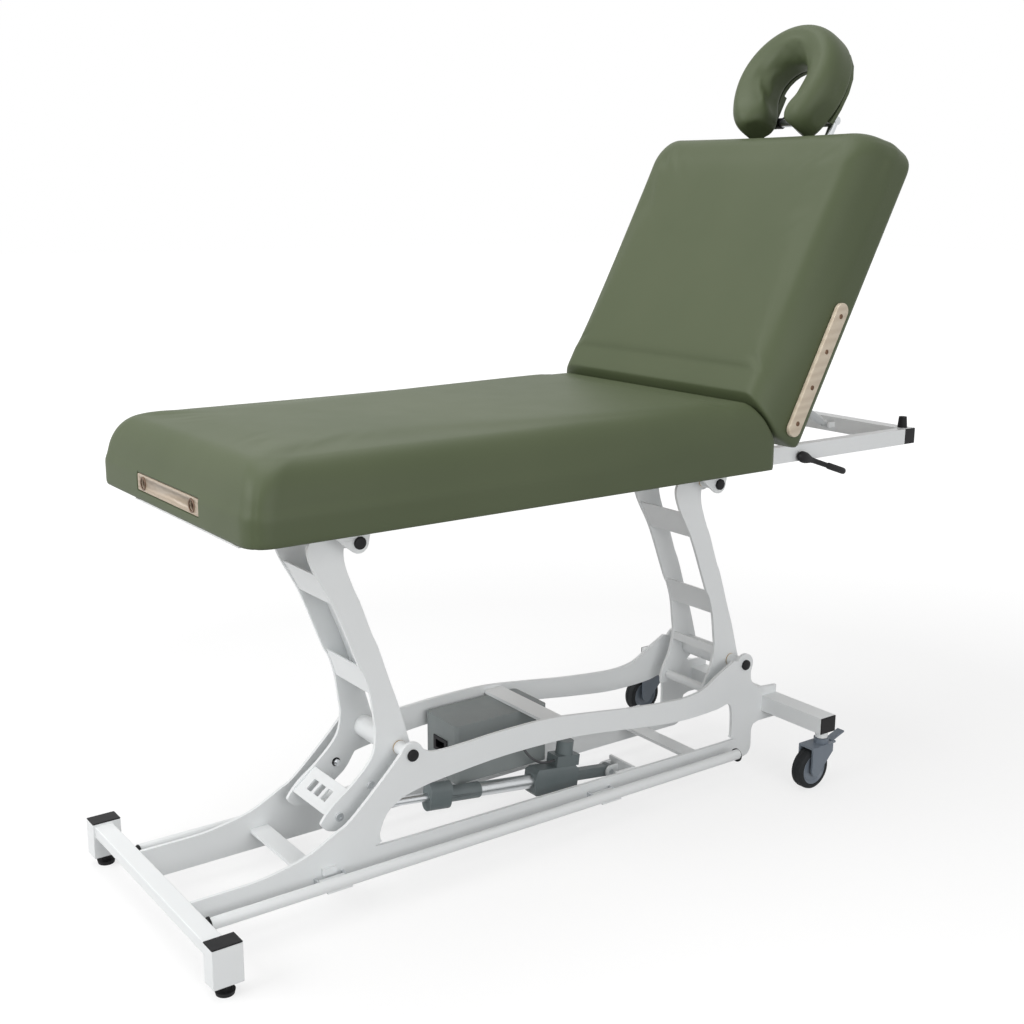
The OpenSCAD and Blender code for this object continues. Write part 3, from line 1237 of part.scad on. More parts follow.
// Middle line of the face cushion, from one limb's end round the head side to the other's
limb_step_shares = [1, 0.5];
function face_line() = concat(
    [for (t = limb_step_shares) [-face_limb_l * t, face_narrow * t * t - face_mid_r]],
    [for (a = [-90 : 15 : 90]) [face_mid_r * cos(a), face_mid_r * sin(a)]],
    [for (t = reversed(limb_step_shares)) [-face_limb_l * t, face_mid_r - face_narrow * t * t]]);
function face_dir(p, i) = let (d = p[min(i + 1, len(p) - 1)] - p[max(i - 1, 0)]) d / norm(d);
face_section_shares = [[1, 0.4], [0.98, 0.15], [0.92, 0], [-0.92, 0], [-0.98, 0.15], [-1, 0.4],
    [-0.95, 0.65], [-0.78, 0.86], [-0.45, 0.97], [0, 1], [0.45, 0.97], [0.78, 0.86], [0.95, 0.65]];
function face_section(at, dir, w, h) = [for (s = face_section_shares)
    [at[0] + dir[1] * s[0] * w, at[1] - dir[0] * s[0] * w, s[1] * h]];
// The limbs' round ends, as turns past the end of the middle line
end_turns = [80, 55, 28];
end_height_share = 0.6;
function end_section(p, i, side, a) = let (d = face_dir(p, i)) face_section(
    p[i] + d * side * face_half_w * sin(a), d, face_half_w * cos(a),
    face_t * part_way(end_height_share, 1, cos(a)));
module at_face() on_back() translate([face_from_hinge, 0, face_low]) children();
module cradle_cushion() color(vinyl) at_face() {
    p = face_line();
    m = len(p) - 1;
    skin(concat(
        [for (a = end_turns) end_section(p, 0, -1, a)],
        [for (i = [0 : m]) face_section(p[i], face_dir(p, i), face_half_w, face_t)],
        [for (a = reversed(end_turns)) end_section(p, m, 1, a)]));
}
module cradle_platform() color(black) {
    p = face_line();
    w = face_half_w - face_plate_inset;
    at_face() translate([0, 0, -face_plate_t]) linear_extrude(face_plate_t) polygon(concat(
        [for (i = [0 : len(p) - 1]) let (d = face_dir(p, i)) p[i] + [d[1], -d[0]] * w],
        [for (i = [len(p) - 1 : -1 : 0]) let (d = face_dir(p, i)) p[i] - [d[1], -d[0]] * w]));
    on_back() both_sides() difference() {
        union() {
            across([prong_cross_x, 0, socket_z], sleeve_r, sleeve_y[1] - sleeve_y[0],
                -(sleeve_y[0] + sleeve_y[1]) / 2);
            box([prong_cross_x, -sleeve_y[1], socket_z],
                [prong_cross_x + sleeve_ear_l, -sleeve_y[0], face_low - face_plate_t]);
        }
        across([prong_cross_x, 0, socket_z], prong_r + run_gap, 2 * socket_pitch);
    }
}
clamp_y = 50;
clamp_w = 14;
clamp_l = 48;
clamp_t = 8;
clamp_edge = 2;
clamp_droop = 25;
module cradle_clamp() color(black) on_back() translate([prong_cross_x, clamp_y, socket_z]) difference() {
    union() {
        across([0, 0, 0], sleeve_r, clamp_w, clamp_w / 2);
        rotate([0, clamp_droop, 0])
            box([0, clamp_edge, -clamp_t / 2], [clamp_l, clamp_w - clamp_edge, clamp_t / 2]);
    }
    across([0, 0, 0], prong_r + run_gap, 4 * clamp_w);
}

foot_stand();
base_end_caps();
foot_glides();
left_side_plate();
right_side_plate();
cross_braces();
head_crossbar();
lower_axles();
axle_spacers();
control_box();
control_box_cover();
control_board();
mains_inlet();
control_lead();
ram_anchor();
ram_anchor_pin();
foot_bar_hinges();
foot_switches();
left_foot_bar();
right_foot_bar();
left_caster_fork();
left_caster_wheel();
left_caster_pedal();
right_caster_fork();
right_caster_wheel();
right_caster_pedal();
ram_tube();
ram_head();
ram_gearbox();
ram_motor();
ram_spindle();
ram_rod();
foot_leg_plates();
foot_leg_webs();
foot_leg_bushes();
crank_bolts();
head_leg_plates();
head_leg_webs();
head_leg_bushes();
top_frame();
frame_lugs();
frame_end_caps();
bumpers();
upper_axles();
seat_deck();
seat_cushion();
foot_end_block();
seat_hinge_leaves();
back_deck();
back_cushion();
back_fittings();
side_strips();
side_strip_screws();
strut_body();
strut_rod();
release_lever();
cradle_frame();
cradle_platform();
cradle_cushion();
cradle_clamp();
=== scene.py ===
"""Massage table with an electric lift: upholstery, finishes, small fittings, camera and light."""

import math

import bmesh
import bpy
import numpy as np
from mathutils import Matrix, Vector


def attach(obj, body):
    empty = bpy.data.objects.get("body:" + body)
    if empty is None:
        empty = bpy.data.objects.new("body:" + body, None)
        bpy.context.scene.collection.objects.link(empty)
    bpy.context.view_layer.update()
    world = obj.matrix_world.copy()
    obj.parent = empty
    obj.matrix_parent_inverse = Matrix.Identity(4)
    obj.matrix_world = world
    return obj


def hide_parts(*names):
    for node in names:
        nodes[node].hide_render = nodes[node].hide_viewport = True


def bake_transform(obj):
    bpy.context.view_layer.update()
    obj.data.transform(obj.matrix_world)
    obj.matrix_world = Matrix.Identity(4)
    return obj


MM = 0.001
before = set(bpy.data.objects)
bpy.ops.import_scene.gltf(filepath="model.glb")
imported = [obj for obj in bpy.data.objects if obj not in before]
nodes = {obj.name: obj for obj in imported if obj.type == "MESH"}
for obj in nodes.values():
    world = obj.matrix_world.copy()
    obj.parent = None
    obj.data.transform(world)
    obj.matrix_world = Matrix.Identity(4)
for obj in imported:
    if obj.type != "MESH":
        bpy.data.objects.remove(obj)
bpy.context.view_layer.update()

# Sizes of the table top that the upholstery follows, in mm
HINGE_X, HINGE_Z = 354.5, 880.0
BACK_ANGLE = math.radians(62)
TOP_WIDTH = 711.0
SEAT_LENGTH, BACK_LENGTH = 1234.0, 720.0
SKIRT_LOW, DECK_TOP = 813.0, 869.0
SEAT_FOAM, BACK_FOAM = 88.0, 102.0
EDGE_ROUND, CREASE_ROUND, CUSHION_GAP = 55.0, 8.0, 2.5
SEAT_CORNER, BACK_CORNER, HINGE_CORNER = 45.0, 55.0, 14.0

# Places of the block with the accessory sockets, the side strips, the pivots and the wheels, in mm
BLOCK_HALF, BLOCK_LOW, BLOCK_HIGH = 145.0, 830.3, 866.3
SOCKET_Y, SOCKET_Z, FOOT_FACE_X = 114.5, 848.3, -878.6
STRIP_START, STRIP_LENGTH, STRIP_LOW, STRIP_HIGH = 18.0, 314.0, 835.0, 871.0
LOWER_PIVOTS_X, UPPER_PIVOTS_X, PIVOT_LOW_Z, PIVOT_HIGH_Z = (-436.5, 520.5), (-549.5, 407.5), 270.0, 735.0
PIVOT_FACE_Y, FOOT_BAR_Y, FOOT_BAR_Z = 134.0, 176.0, 65.0
FOOT_BAR_ENDS_X = (-909.5, 456.5)
WHEEL_X, WHEEL_Y, WHEEL_Z = 574.0, 305.0, 50.0
LEG_INSIDE_Y, LEG_OUTSIDE_Y = 70.0, 78.0
SIDES = (("left", -1), ("right", 1))


# Materials

def new_material(name):
    mat = bpy.data.materials.new(name)
    mat.use_nodes = True
    shader = mat.node_tree.nodes["Principled BSDF"]
    return mat, mat.node_tree, shader


def add_node(tree, kind, **values):
    node = tree.nodes.new(kind)
    for key, value in values.items():
        if hasattr(node, key):
            setattr(node, key, value)
        else:
            node.inputs[key.replace("_", " ")].default_value = value
    return node


def object_coordinates(tree, scale=(1, 1, 1), turn=(0, 0, 0)):
    coord = add_node(tree, "ShaderNodeTexCoord")
    mapping = add_node(tree, "ShaderNodeMapping")
    mapping.inputs["Rotation"].default_value = turn
    mapping.inputs["Scale"].default_value = scale
    tree.links.new(coord.outputs["Object"], mapping.inputs["Vector"])
    return mapping.outputs["Vector"]


def colour_ramp(tree, factor, low, high, start=0.3, end=0.7):
    ramp = add_node(tree, "ShaderNodeValToRGB")
    ramp.color_ramp.elements[0].position = start
    ramp.color_ramp.elements[1].position = end
    ramp.color_ramp.elements[0].color = (*low, 1)
    ramp.color_ramp.elements[1].color = (*high, 1)
    tree.links.new(factor, ramp.inputs["Fac"])
    return ramp.outputs["Color"]


def noise(tree, vector, scale, detail=3.0, rough=0.5):
    node = add_node(tree, "ShaderNodeTexNoise")
    node.inputs["Scale"].default_value = scale
    node.inputs["Detail"].default_value = detail
    node.inputs["Roughness"].default_value = rough
    tree.links.new(vector, node.inputs["Vector"])
    return node.outputs["Fac"]


def bump(tree, shader, height, distance, strength=1.0):
    node = add_node(tree, "ShaderNodeBump")
    node.inputs["Strength"].default_value = strength
    node.inputs["Distance"].default_value = distance
    tree.links.new(height, node.inputs["Height"])
    tree.links.new(node.outputs["Normal"], shader.inputs["Normal"])
    return node


def mottled(name, low, high, rough, mottle=9.0, grain=600.0, depth=0.00004, metal=0.0, coat=0.0,
            specular=0.5):
    """A paint, plastic or metal whose colour drifts slightly and whose skin has a fine grain."""
    mat, tree, shader = new_material(name)
    at = object_coordinates(tree)
    colour = colour_ramp(tree, noise(tree, at, mottle, 4.0), low, high)
    tree.links.new(colour, shader.inputs["Base Color"])
    worn = add_node(tree, "ShaderNodeMapRange")
    worn.inputs["To Min"].default_value = rough[0]
    worn.inputs["To Max"].default_value = rough[1]
    tree.links.new(noise(tree, at, mottle * 5, 2.0), worn.inputs["Value"])
    tree.links.new(worn.outputs["Result"], shader.inputs["Roughness"])
    shader.inputs["Metallic"].default_value = metal
    shader.inputs["Coat Weight"].default_value = coat
    shader.inputs["Specular IOR Level"].default_value = specular
    bump(tree, shader, noise(tree, at, grain, 2.0), depth)
    return mat


def brushed_metal(name, low, high, rough=0.3, stretch=(1, 1, 1)):
    mat, tree, shader = new_material(name)
    at = object_coordinates(tree, stretch)
    streaks = noise(tree, at, 900.0, 2.0)
    tree.links.new(colour_ramp(tree, streaks, low, high), shader.inputs["Base Color"])
    shader.inputs["Metallic"].default_value = 1.0
    shader.inputs["Roughness"].default_value = rough
    bump(tree, shader, streaks, 0.00002)
    return mat


def vinyl_material():
    """Olive upholstery vinyl: a fine pebbled grain, a soft shine and a slow drift of shade."""
    mat, tree, shader = new_material("olive_vinyl")
    at = object_coordinates(tree)
    drift = noise(tree, at, 2.2, 3.0)
    colour = colour_ramp(tree, drift, (0.064, 0.083, 0.038), (0.077, 0.096, 0.047))
    tree.links.new(colour, shader.inputs["Base Color"])
    pebble = add_node(tree, "ShaderNodeTexVoronoi")
    pebble.inputs["Scale"].default_value = 620.0
    tree.links.new(at, pebble.inputs["Vector"])
    both = add_node(tree, "ShaderNodeMath", operation="ADD")
    tree.links.new(pebble.outputs["Distance"], both.inputs[0])
    swell_of = add_node(tree, "ShaderNodeMath", operation="MULTIPLY")
    swell_of.inputs[1].default_value = 0.3
    tree.links.new(noise(tree, at, 60.0, 3.0), swell_of.inputs[0])
    tree.links.new(swell_of.outputs[0], both.inputs[1])
    bump(tree, shader, both.outputs[0], 0.00016, 0.5)
    gloss = add_node(tree, "ShaderNodeMapRange")
    gloss.inputs["To Min"].default_value = 0.5
    gloss.inputs["To Max"].default_value = 0.56
    tree.links.new(noise(tree, at, 14.0, 3.0), gloss.inputs["Value"])
    tree.links.new(gloss.outputs["Result"], shader.inputs["Roughness"])
    shader.inputs["Specular IOR Level"].default_value = 0.34
    return mat


def wood_material(name, turn, low=(0.38, 0.305, 0.225), high=(0.46, 0.375, 0.285)):
    """Pale clear-coated wood whose grain runs along the piece after the turn."""
    mat, tree, shader = new_material(name)
    at = object_coordinates(tree, (6, 90, 90), turn)
    rings = add_node(tree, "ShaderNodeTexWave", wave_type="BANDS", bands_direction="Z")
    rings.inputs["Scale"].default_value = 0.35
    rings.inputs["Distortion"].default_value = 5.0
    rings.inputs["Detail"].default_value = 3.0
    tree.links.new(at, rings.inputs["Vector"])
    pores = noise(tree, at, 4.0, 5.0, 0.7)
    blend = add_node(tree, "ShaderNodeMath", operation="MULTIPLY_ADD")
    blend.inputs[1].default_value = 0.5
    tree.links.new(rings.outputs["Fac"], blend.inputs[0])
    half = add_node(tree, "ShaderNodeMath", operation="MULTIPLY")
    half.inputs[1].default_value = 0.5
    tree.links.new(pores, half.inputs[0])
    tree.links.new(half.outputs[0], blend.inputs[2])
    tree.links.new(colour_ramp(tree, blend.outputs[0], low, high, 0.25, 0.75), shader.inputs["Base Color"])
    shader.inputs["Roughness"].default_value = 0.42
    shader.inputs["Coat Weight"].default_value = 0.15
    bump(tree, shader, pores, 0.0001)
    return mat


finish = {
    "frame_steel": mottled("white_powder_paint", (0.85, 0.87, 0.875), (0.88, 0.9, 0.905), (0.3, 0.42),
                           3.0, 420.0, 0.00006, coat=0.08),
    "black_plastic": mottled("black_plastic", (0.007, 0.007, 0.008), (0.013, 0.013, 0.014), (0.42, 0.56),
                             specular=0.22),
    "bright_steel": brushed_metal("zinc_steel", (0.56, 0.58, 0.6), (0.74, 0.76, 0.77)),
    "motor_grey": mottled("motor_grey", (0.13, 0.158, 0.162), (0.165, 0.19, 0.195), (0.4, 0.55), 12.0,
                          500.0, 0.00008),
    "box_grey": mottled("box_grey", (0.235, 0.26, 0.26), (0.27, 0.295, 0.295), (0.45, 0.6), 10.0, 380.0,
                        0.0001),
    "tube_grey": brushed_metal("drawn_aluminium", (0.52, 0.54, 0.55), (0.7, 0.72, 0.73), 0.34),
    "strut_black": mottled("strut_paint", (0.5, 0.52, 0.525), (0.58, 0.6, 0.605), (0.3, 0.4)),
    "caster_blue": mottled("blue_grey_plastic", (0.15, 0.18, 0.22), (0.19, 0.22, 0.26), (0.35, 0.5)),
    "tyre_rubber": mottled("tyre_rubber", (0.011, 0.013, 0.014), (0.02, 0.022, 0.024), (0.6, 0.8), 30.0,
                           900.0, 0.00008, specular=0.25),
    "foot_rubber": mottled("foot_rubber", (0.009, 0.009, 0.01), (0.016, 0.016, 0.017), (0.6, 0.8),
                           specular=0.25),
    "vinyl": vinyl_material(),
    "wood": wood_material("pale_wood", (0, 0, math.radians(90))),
    "bronze": brushed_metal("bronze", (0.42, 0.29, 0.13), (0.6, 0.42, 0.22), 0.35),
    "board": mottled("circuit_board", (0.01, 0.08, 0.03), (0.02, 0.13, 0.05), (0.3, 0.5), 120.0),
    "cable": mottled("cable_sheath", (0.05, 0.052, 0.055), (0.075, 0.077, 0.08), (0.45, 0.6)),
}
strip_wood = wood_material("strip_wood", (0, BACK_ANGLE, 0), (0.56, 0.47, 0.36), (0.64, 0.55, 0.43))
screw_brown = mottled("brown_screw", (0.09, 0.045, 0.02), (0.16, 0.085, 0.045), (0.35, 0.5), metal=0.3)

node_finish = {
    "black_plastic": ("base_end_caps", "mains_inlet", "frame_end_caps", "release_lever",
                      "cradle_clamp", "back_fittings"),
    "vinyl": ("cradle_platform",),
    "foot_rubber": ("foot_glides", "bumpers"),
    "box_grey": ("control_box", "control_box_cover"),
    "board": ("control_board",),
    "bright_steel": ("lower_axles", "ram_anchor_pin", "foot_bar_hinges", "ram_spindle", "ram_rod",
                     "crank_bolts", "seat_hinge_leaves", "strut_rod"),
    "motor_grey": ("ram_head", "ram_gearbox", "ram_motor"),
    "tube_grey": ("ram_tube", "cradle_frame"),
    "strut_black": ("strut_body",),
    "caster_blue": ("left_caster_pedal", "right_caster_pedal", "left_caster_fork", "right_caster_fork"),
    "tyre_rubber": ("left_caster_wheel", "right_caster_wheel"),
    "bronze": ("foot_leg_bushes", "head_leg_bushes"),
    "wood": ("seat_deck", "back_deck", "foot_end_block"),
}
for node in nodes.values():
    node.data.materials.clear()
    node.data.materials.append(finish["frame_steel"])
for key, names in node_finish.items():
    for name in names:
        nodes[name].data.materials[0] = finish[key]
nodes["side_strips"].data.materials[0] = strip_wood
nodes["side_strip_screws"].data.materials[0] = screw_brown


# Edges of the frame's own parts

def edge_smoothing():
    """Welds a part's loose triangles and shades it smooth between its real edges."""
    group = bpy.data.node_groups.new("smooth_between_edges", "GeometryNodeTree")
    group.interface.new_socket("Geometry", in_out="INPUT", socket_type="NodeSocketGeometry")
    group.interface.new_socket("Geometry", in_out="OUTPUT", socket_type="NodeSocketGeometry")
    start = group.nodes.new("NodeGroupInput")
    end = group.nodes.new("NodeGroupOutput")
    weld = group.nodes.new("GeometryNodeMergeByDistance")
    weld.inputs["Distance"].default_value = 0.00002
    angle = group.nodes.new("GeometryNodeInputMeshEdgeAngle")
    sharp = group.nodes.new("FunctionNodeCompare")
    sharp.data_type = "FLOAT"
    sharp.operation = "GREATER_THAN"
    sharp.inputs[1].default_value = math.radians(28)
    normals = group.nodes.new("GeometryNodeSetMeshNormal")
    normals.mode = "SHARPNESS"
    normals.inputs["Remove Custom"].default_value = True
    group.links.new(start.outputs[0], weld.inputs["Geometry"])
    group.links.new(weld.outputs["Geometry"], normals.inputs["Mesh"])
    group.links.new(angle.outputs["Unsigned Angle"], sharp.inputs[0])
    group.links.new(sharp.outputs[0], normals.inputs["Edge Sharpness"])
    group.links.new(normals.outputs["Mesh"], end.inputs[0])
    return group


smoothing = edge_smoothing()


def smooth_between_edges(obj):
    shade = obj.modifiers.new("smooth", "NODES")
    shade.node_group = smoothing
    return obj


def ease_edges(obj, width, segments=2):
    """Gives a part's real edges a small bevel that catches the light."""
    smooth_between_edges(obj)
    edge = obj.modifiers.new("edge", "BEVEL")
    edge.width = width
    edge.segments = segments
    edge.limit_method = "ANGLE"
    edge.angle_limit = math.radians(35)
    edge.use_clamp_overlap = True
    edge.harden_normals = True
    edge.miter_outer = "MITER_ARC"


edge_width = {
    "foot_stand": 2.0, "head_crossbar": 2.0, "base_end_caps": 1.5, "left_side_plate": 1.0,
    "right_side_plate": 1.0, "cross_braces": 1.5, "top_frame": 1.5, "frame_end_caps": 1.2,
    "foot_leg_plates": 1.0, "head_leg_plates": 1.0, "foot_leg_webs": 1.0, "head_leg_webs": 1.0,
    "control_box": 3.0, "control_box_cover": 2.0, "ram_gearbox": 2.0, "ram_head": 1.2, "ram_motor": 2.0,
    "foot_end_block": 1.5, "side_strips": 1.5, "seat_deck": 1.0, "back_deck": 1.0,
    "cradle_platform": 1.0, "release_lever": 1.2, "bumpers": 1.5, "foot_glides": 1.0,
    "lower_axles": 1.2, "upper_axles": 1.2, "crank_bolts": 1.0, "frame_lugs": 1.0, "ram_anchor": 1.0,
    "left_foot_bar": 0.8, "right_foot_bar": 0.8, "axle_spacers": 0.5,
    "left_caster_fork": 0.8, "right_caster_fork": 0.8, "left_caster_pedal": 0.8,
    "right_caster_pedal": 0.8, "left_caster_wheel": 1.5, "right_caster_wheel": 1.5,
}
for name, node in nodes.items():
    ease_edges(node, edge_width.get(name, 0.5) * MM)


# Upholstery

def gridded_box(cuts):
    """A unit box whose faces are cut into even cells, ready to be drawn into a cushion."""
    bm = bmesh.new()
    bmesh.ops.create_cube(bm, size=1.0)
    for axis, count in enumerate(cuts):
        edges = [e for e in bm.edges if abs((e.verts[1].co - e.verts[0].co)[axis]) > 1e-6]
        bmesh.ops.subdivide_edges(bm, edges=edges, cuts=count, use_grid_fill=True)
    return bm


def mesh_object(name, bm, material=None):
    mesh = bpy.data.meshes.new(name)
    bm.to_mesh(mesh)
    bm.free()
    for face in mesh.polygons:
        face.use_smooth = True
    obj = bpy.data.objects.new(name, mesh)
    bpy.context.scene.collection.objects.link(obj)
    if material:
        mesh.materials.append(material)
    return obj


def points_of(obj):
    at = np.zeros(len(obj.data.vertices) * 3)
    obj.data.vertices.foreach_get("co", at)
    return at.reshape(-1, 3)


def move_points(obj, at):
    obj.data.vertices.foreach_set("co", np.asarray(at, float).ravel())
    obj.data.update()


def pad_points(unit, length, corner, foam, crown):
    """Draws the unit box out into a pad, laid flat from the hinge line at x = 0, in mm."""
    side_over = 8
    straight = DECK_TOP - side_over - SKIRT_LOW
    rise = foam + side_over
    bend_share = 0.28
    t = unit[:, 2] + 0.5
    a = np.clip((t - bend_share) / (1 - bend_share), 0, 1) * math.pi / 2
    z = SKIRT_LOW + straight * np.clip(t / bend_share, 0, 1) + rise * np.sin(a)
    inset = EDGE_ROUND * (1 - np.cos(a))
    lean = np.maximum(0, z - HINGE_Z) * math.tan(BACK_ANGLE / 2)
    x0 = CUSHION_GAP + lean + CREASE_ROUND * (1 - np.cos(a)) ** 2
    x1 = length - inset
    half = TOP_WIDTH / 2 - inset
    x = x0 + (unit[:, 0] + 0.5) * (x1 - x0)
    y = unit[:, 1] * 2 * half
    r = np.where(unit[:, 0] > 0, corner + 0.3 * inset, np.maximum(HINGE_CORNER - inset, 2.0))
    near_x = np.clip(x, x0 + r, x1 - r)
    near_y = np.clip(y, r - half, half - r)
    dx, dy = x - near_x, y - near_y
    reach = np.hypot(dx, dy)
    square = np.maximum(np.abs(dx), np.abs(dy))
    pull = np.where((np.abs(dx) > 0) & (np.abs(dy) > 0), square / np.maximum(reach, 1e-9), 1.0)
    x, y = near_x + dx * pull, near_y + dy * pull
    draw = 4.0 * np.sin(a)
    y -= draw * np.sin(math.pi * (unit[:, 0] + 0.5)) * unit[:, 1] * 2
    x -= draw * np.sin(math.pi * (unit[:, 1] + 0.5)) * np.maximum(unit[:, 0] * 2, 0)
    on_top = t > 1 - 1e-6
    dome = (1 - (2 * unit[:, 0]) ** 2) * (1 - (2 * unit[:, 1]) ** 2)
    z = z + np.where(on_top, crown * np.sqrt(np.clip(dome, 0, 1)), 0)
    return np.stack([x, y, z], axis=1)


def swell(obj, held, pressure, most):
    """Lets the cover fill out under the foam's pressure, each point by a few millimetres at most."""
    start = points_of(obj)
    group = obj.vertex_groups.new(name="held")
    group.add([int(i) for i in np.nonzero(held)[0]], 1.0, "REPLACE")
    cloth = obj.modifiers.new("cover", "CLOTH")
    cloth.settings.quality = 4
    cloth.settings.use_pressure = True
    cloth.settings.uniform_pressure_force = pressure
    cloth.settings.vertex_group_mass = "held"
    cloth.settings.effector_weights.gravity = 0.0
    cloth.settings.tension_stiffness = 40
    cloth.settings.compression_stiffness = 40
    cloth.settings.bending_stiffness = 2.0
    cloth.point_cache.frame_start = 1
    cloth.point_cache.frame_end = 20
    scene = bpy.context.scene
    for step in range(1, 21):
        scene.frame_set(step)
    evaluated = obj.evaluated_get(bpy.context.evaluated_depsgraph_get())
    at = np.zeros(len(start) * 3)
    evaluated.data.vertices.foreach_get("co", at)
    moved = at.reshape(-1, 3) - start
    length = np.linalg.norm(moved, axis=1, keepdims=True)
    obj.modifiers.remove(cloth)
    obj.vertex_groups.clear()
    scene.frame_set(1)
    move_points(obj, start + moved * (most * np.tanh(length / most) / np.maximum(length, 1e-9)))


def applied(obj):
    """Bakes the piece's modifiers into its mesh."""
    evaluated = obj.evaluated_get(bpy.context.evaluated_depsgraph_get())
    mesh = bpy.data.meshes.new_from_object(evaluated)
    old = obj.data
    obj.modifiers.clear()
    obj.data = mesh
    mesh.name = old.name
    bpy.data.meshes.remove(old)
    return obj


def finer(obj):
    step = obj.modifiers.new("finer", "SUBSURF")
    step.levels = 1
    step.render_levels = 1
    return applied(obj)


def cut_away(obj, bm):
    """Cuts a closed shape out of a closed piece."""
    cutter = mesh_object("cutter", bm)
    cut = obj.modifiers.new("cut", "BOOLEAN")
    cut.operation = "DIFFERENCE"
    cut.solver = "EXACT"
    cut.object = cutter
    applied(obj)
    bpy.data.objects.remove(cutter)


def cut_boxes(obj, boxes):
    """Cuts boxes, given by their corners in mm, out of a closed piece."""
    for low, high in boxes:
        bm = bmesh.new()
        bmesh.ops.create_cube(bm, size=1.0)
        size = [(b - a) * MM for a, b in zip(low, high)]
        middle = [(b + a) / 2 * MM for a, b in zip(low, high)]
        bmesh.ops.scale(bm, vec=size, verts=bm.verts)
        bmesh.ops.translate(bm, vec=middle, verts=bm.verts)
        cut_away(obj, bm)
    return obj


def hollow_skirt(obj, wall):
    """Opens the pad's underside, so that its skirt hangs round the wooden deck."""
    bm = bmesh.new()
    bm.from_mesh(obj.data)
    low = SKIRT_LOW * MM
    under = [f for f in bm.faces if f.normal.z < -0.9 and f.calc_center_median().z < low + 0.0015]
    flat = bmesh.ops.dissolve_faces(bm, faces=under, use_verts=True)["region"]
    for vert in {v for f in flat for v in f.verts}:
        vert.co.z = low
    bmesh.ops.inset_region(bm, faces=flat, thickness=wall * MM, use_even_offset=True)
    raised = bmesh.ops.extrude_face_region(bm, geom=flat)["geom"]
    bmesh.ops.delete(bm, geom=flat, context="FACES_ONLY")
    verts = [v for v in raised if isinstance(v, bmesh.types.BMVert)]
    bmesh.ops.translate(bm, vec=(0, 0, (DECK_TOP + 0.3 - SKIRT_LOW) * MM), verts=verts)
    bmesh.ops.recalc_face_normals(bm, faces=bm.faces)
    bm.to_mesh(obj.data)
    bm.free()


def corner_seams(at, length, corner):
    """Presses a sewn fold into the cover down each of a pad's two outer corners."""
    for side in (-1, 1):
        centre = np.array([length - corner, side * (TOP_WIDTH / 2 - corner)])
        way = np.array([1.0, side]) / math.sqrt(2)
        flat = at[:, :2] / MM - centre
        along = flat @ way
        across = flat @ np.array([-way[1], way[0]])
        depth = 0.7 * np.exp(-(across / 5.0) ** 2) * (along > 0)
        depth *= np.clip((DECK_TOP + 84 - at[:, 2] / MM) / 40, 0, 1)
        at[:, :2] -= way * (depth * MM)[:, None]
    return at


# Way for the frame's rails under a pad's hinge end, and the opening round the socket block
RAIL_WAY = ((-1.0, -246.0, SKIRT_LOW - 1), (31.5, 246.0, BLOCK_LOW))


def block_opening(length):
    return (length - 16, -BLOCK_HALF, BLOCK_LOW), (length + 8, BLOCK_HALF, BLOCK_HIGH)


def make_pad(name, length, corner, foam, place, material):
    """One cushion of the table top: formed, filled out, its skirt opened, then moved to its place."""
    cell, rows_up, crown, skirt_wall = 10.5, 16, 3.0, 7.6
    cuts = (int(length / cell), int(TOP_WIDTH / cell), rows_up)
    obj = mesh_object(name, gridded_box(cuts), material)
    unit = points_of(obj)
    move_points(obj, pad_points(unit, length, corner, foam, crown) * MM)
    near_crease = 70
    held = (unit[:, 2] < -0.2) | (unit[:, 0] < -0.5 + near_crease / length)
    swell(obj, held, 4.0, 5.0 * MM)
    finer(obj)
    move_points(obj, corner_seams(points_of(obj), length, corner))
    hollow_skirt(obj, skirt_wall)
    cut_boxes(obj, (RAIL_WAY, block_opening(length)))
    obj.data.transform(place)
    if place.determinant() < 0:
        obj.data.flip_normals()
    return obj


seat_place = Matrix.Translation((HINGE_X * MM, 0, 0)) @ Matrix.Scale(-1, 4, (1, 0, 0))
back_place = (Matrix.Translation((HINGE_X * MM, 0, HINGE_Z * MM)) @ Matrix.Rotation(-BACK_ANGLE, 4, "Y")
              @ Matrix.Translation((0, 0, -HINGE_Z * MM)))

seat_cover = make_pad("seat_cover", SEAT_LENGTH, SEAT_CORNER, SEAT_FOAM, seat_place, finish["vinyl"])
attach(seat_cover, "top")
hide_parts("seat_cushion")

back_cover = make_pad("back_cover", BACK_LENGTH, BACK_CORNER, BACK_FOAM, back_place, finish["vinyl"])
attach(back_cover, "back")
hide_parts("back_cushion")

# Face cushion: a crescent whose crest lies outside its middle line and slopes to the face hole
FACE_FROM_HINGE, FACE_LOW, FACE_THICK = 847.0, 875.0, 92.0
FACE_LINE_R, FACE_HALF, FACE_LIMB, FACE_NARROW = 102.0, 46.0, 73.0, 20.0
FACE_WAIST, FACE_RIDGE, FACE_DIP = 0.4, 0.35, 0.34


def face_line(u):
    """Point and direction at share u of the way round the crescent's middle line, in mm."""
    arc = math.pi * FACE_LINE_R
    total = arc + 2 * FACE_LIMB
    s = u * total
    first = s < FACE_LIMB
    last = s > total - FACE_LIMB
    k1 = (FACE_LIMB - s) / FACE_LIMB
    k2 = (s - total + FACE_LIMB) / FACE_LIMB
    turn = (s - FACE_LIMB) / FACE_LINE_R - math.pi / 2
    x = np.where(first, -FACE_LIMB * k1, np.where(last, -FACE_LIMB * k2, FACE_LINE_R * np.cos(turn)))
    y = np.where(first, FACE_NARROW * k1 ** 2 - FACE_LINE_R,
                 np.where(last, FACE_LINE_R - FACE_NARROW * k2 ** 2, FACE_LINE_R * np.sin(turn)))
    return x, y


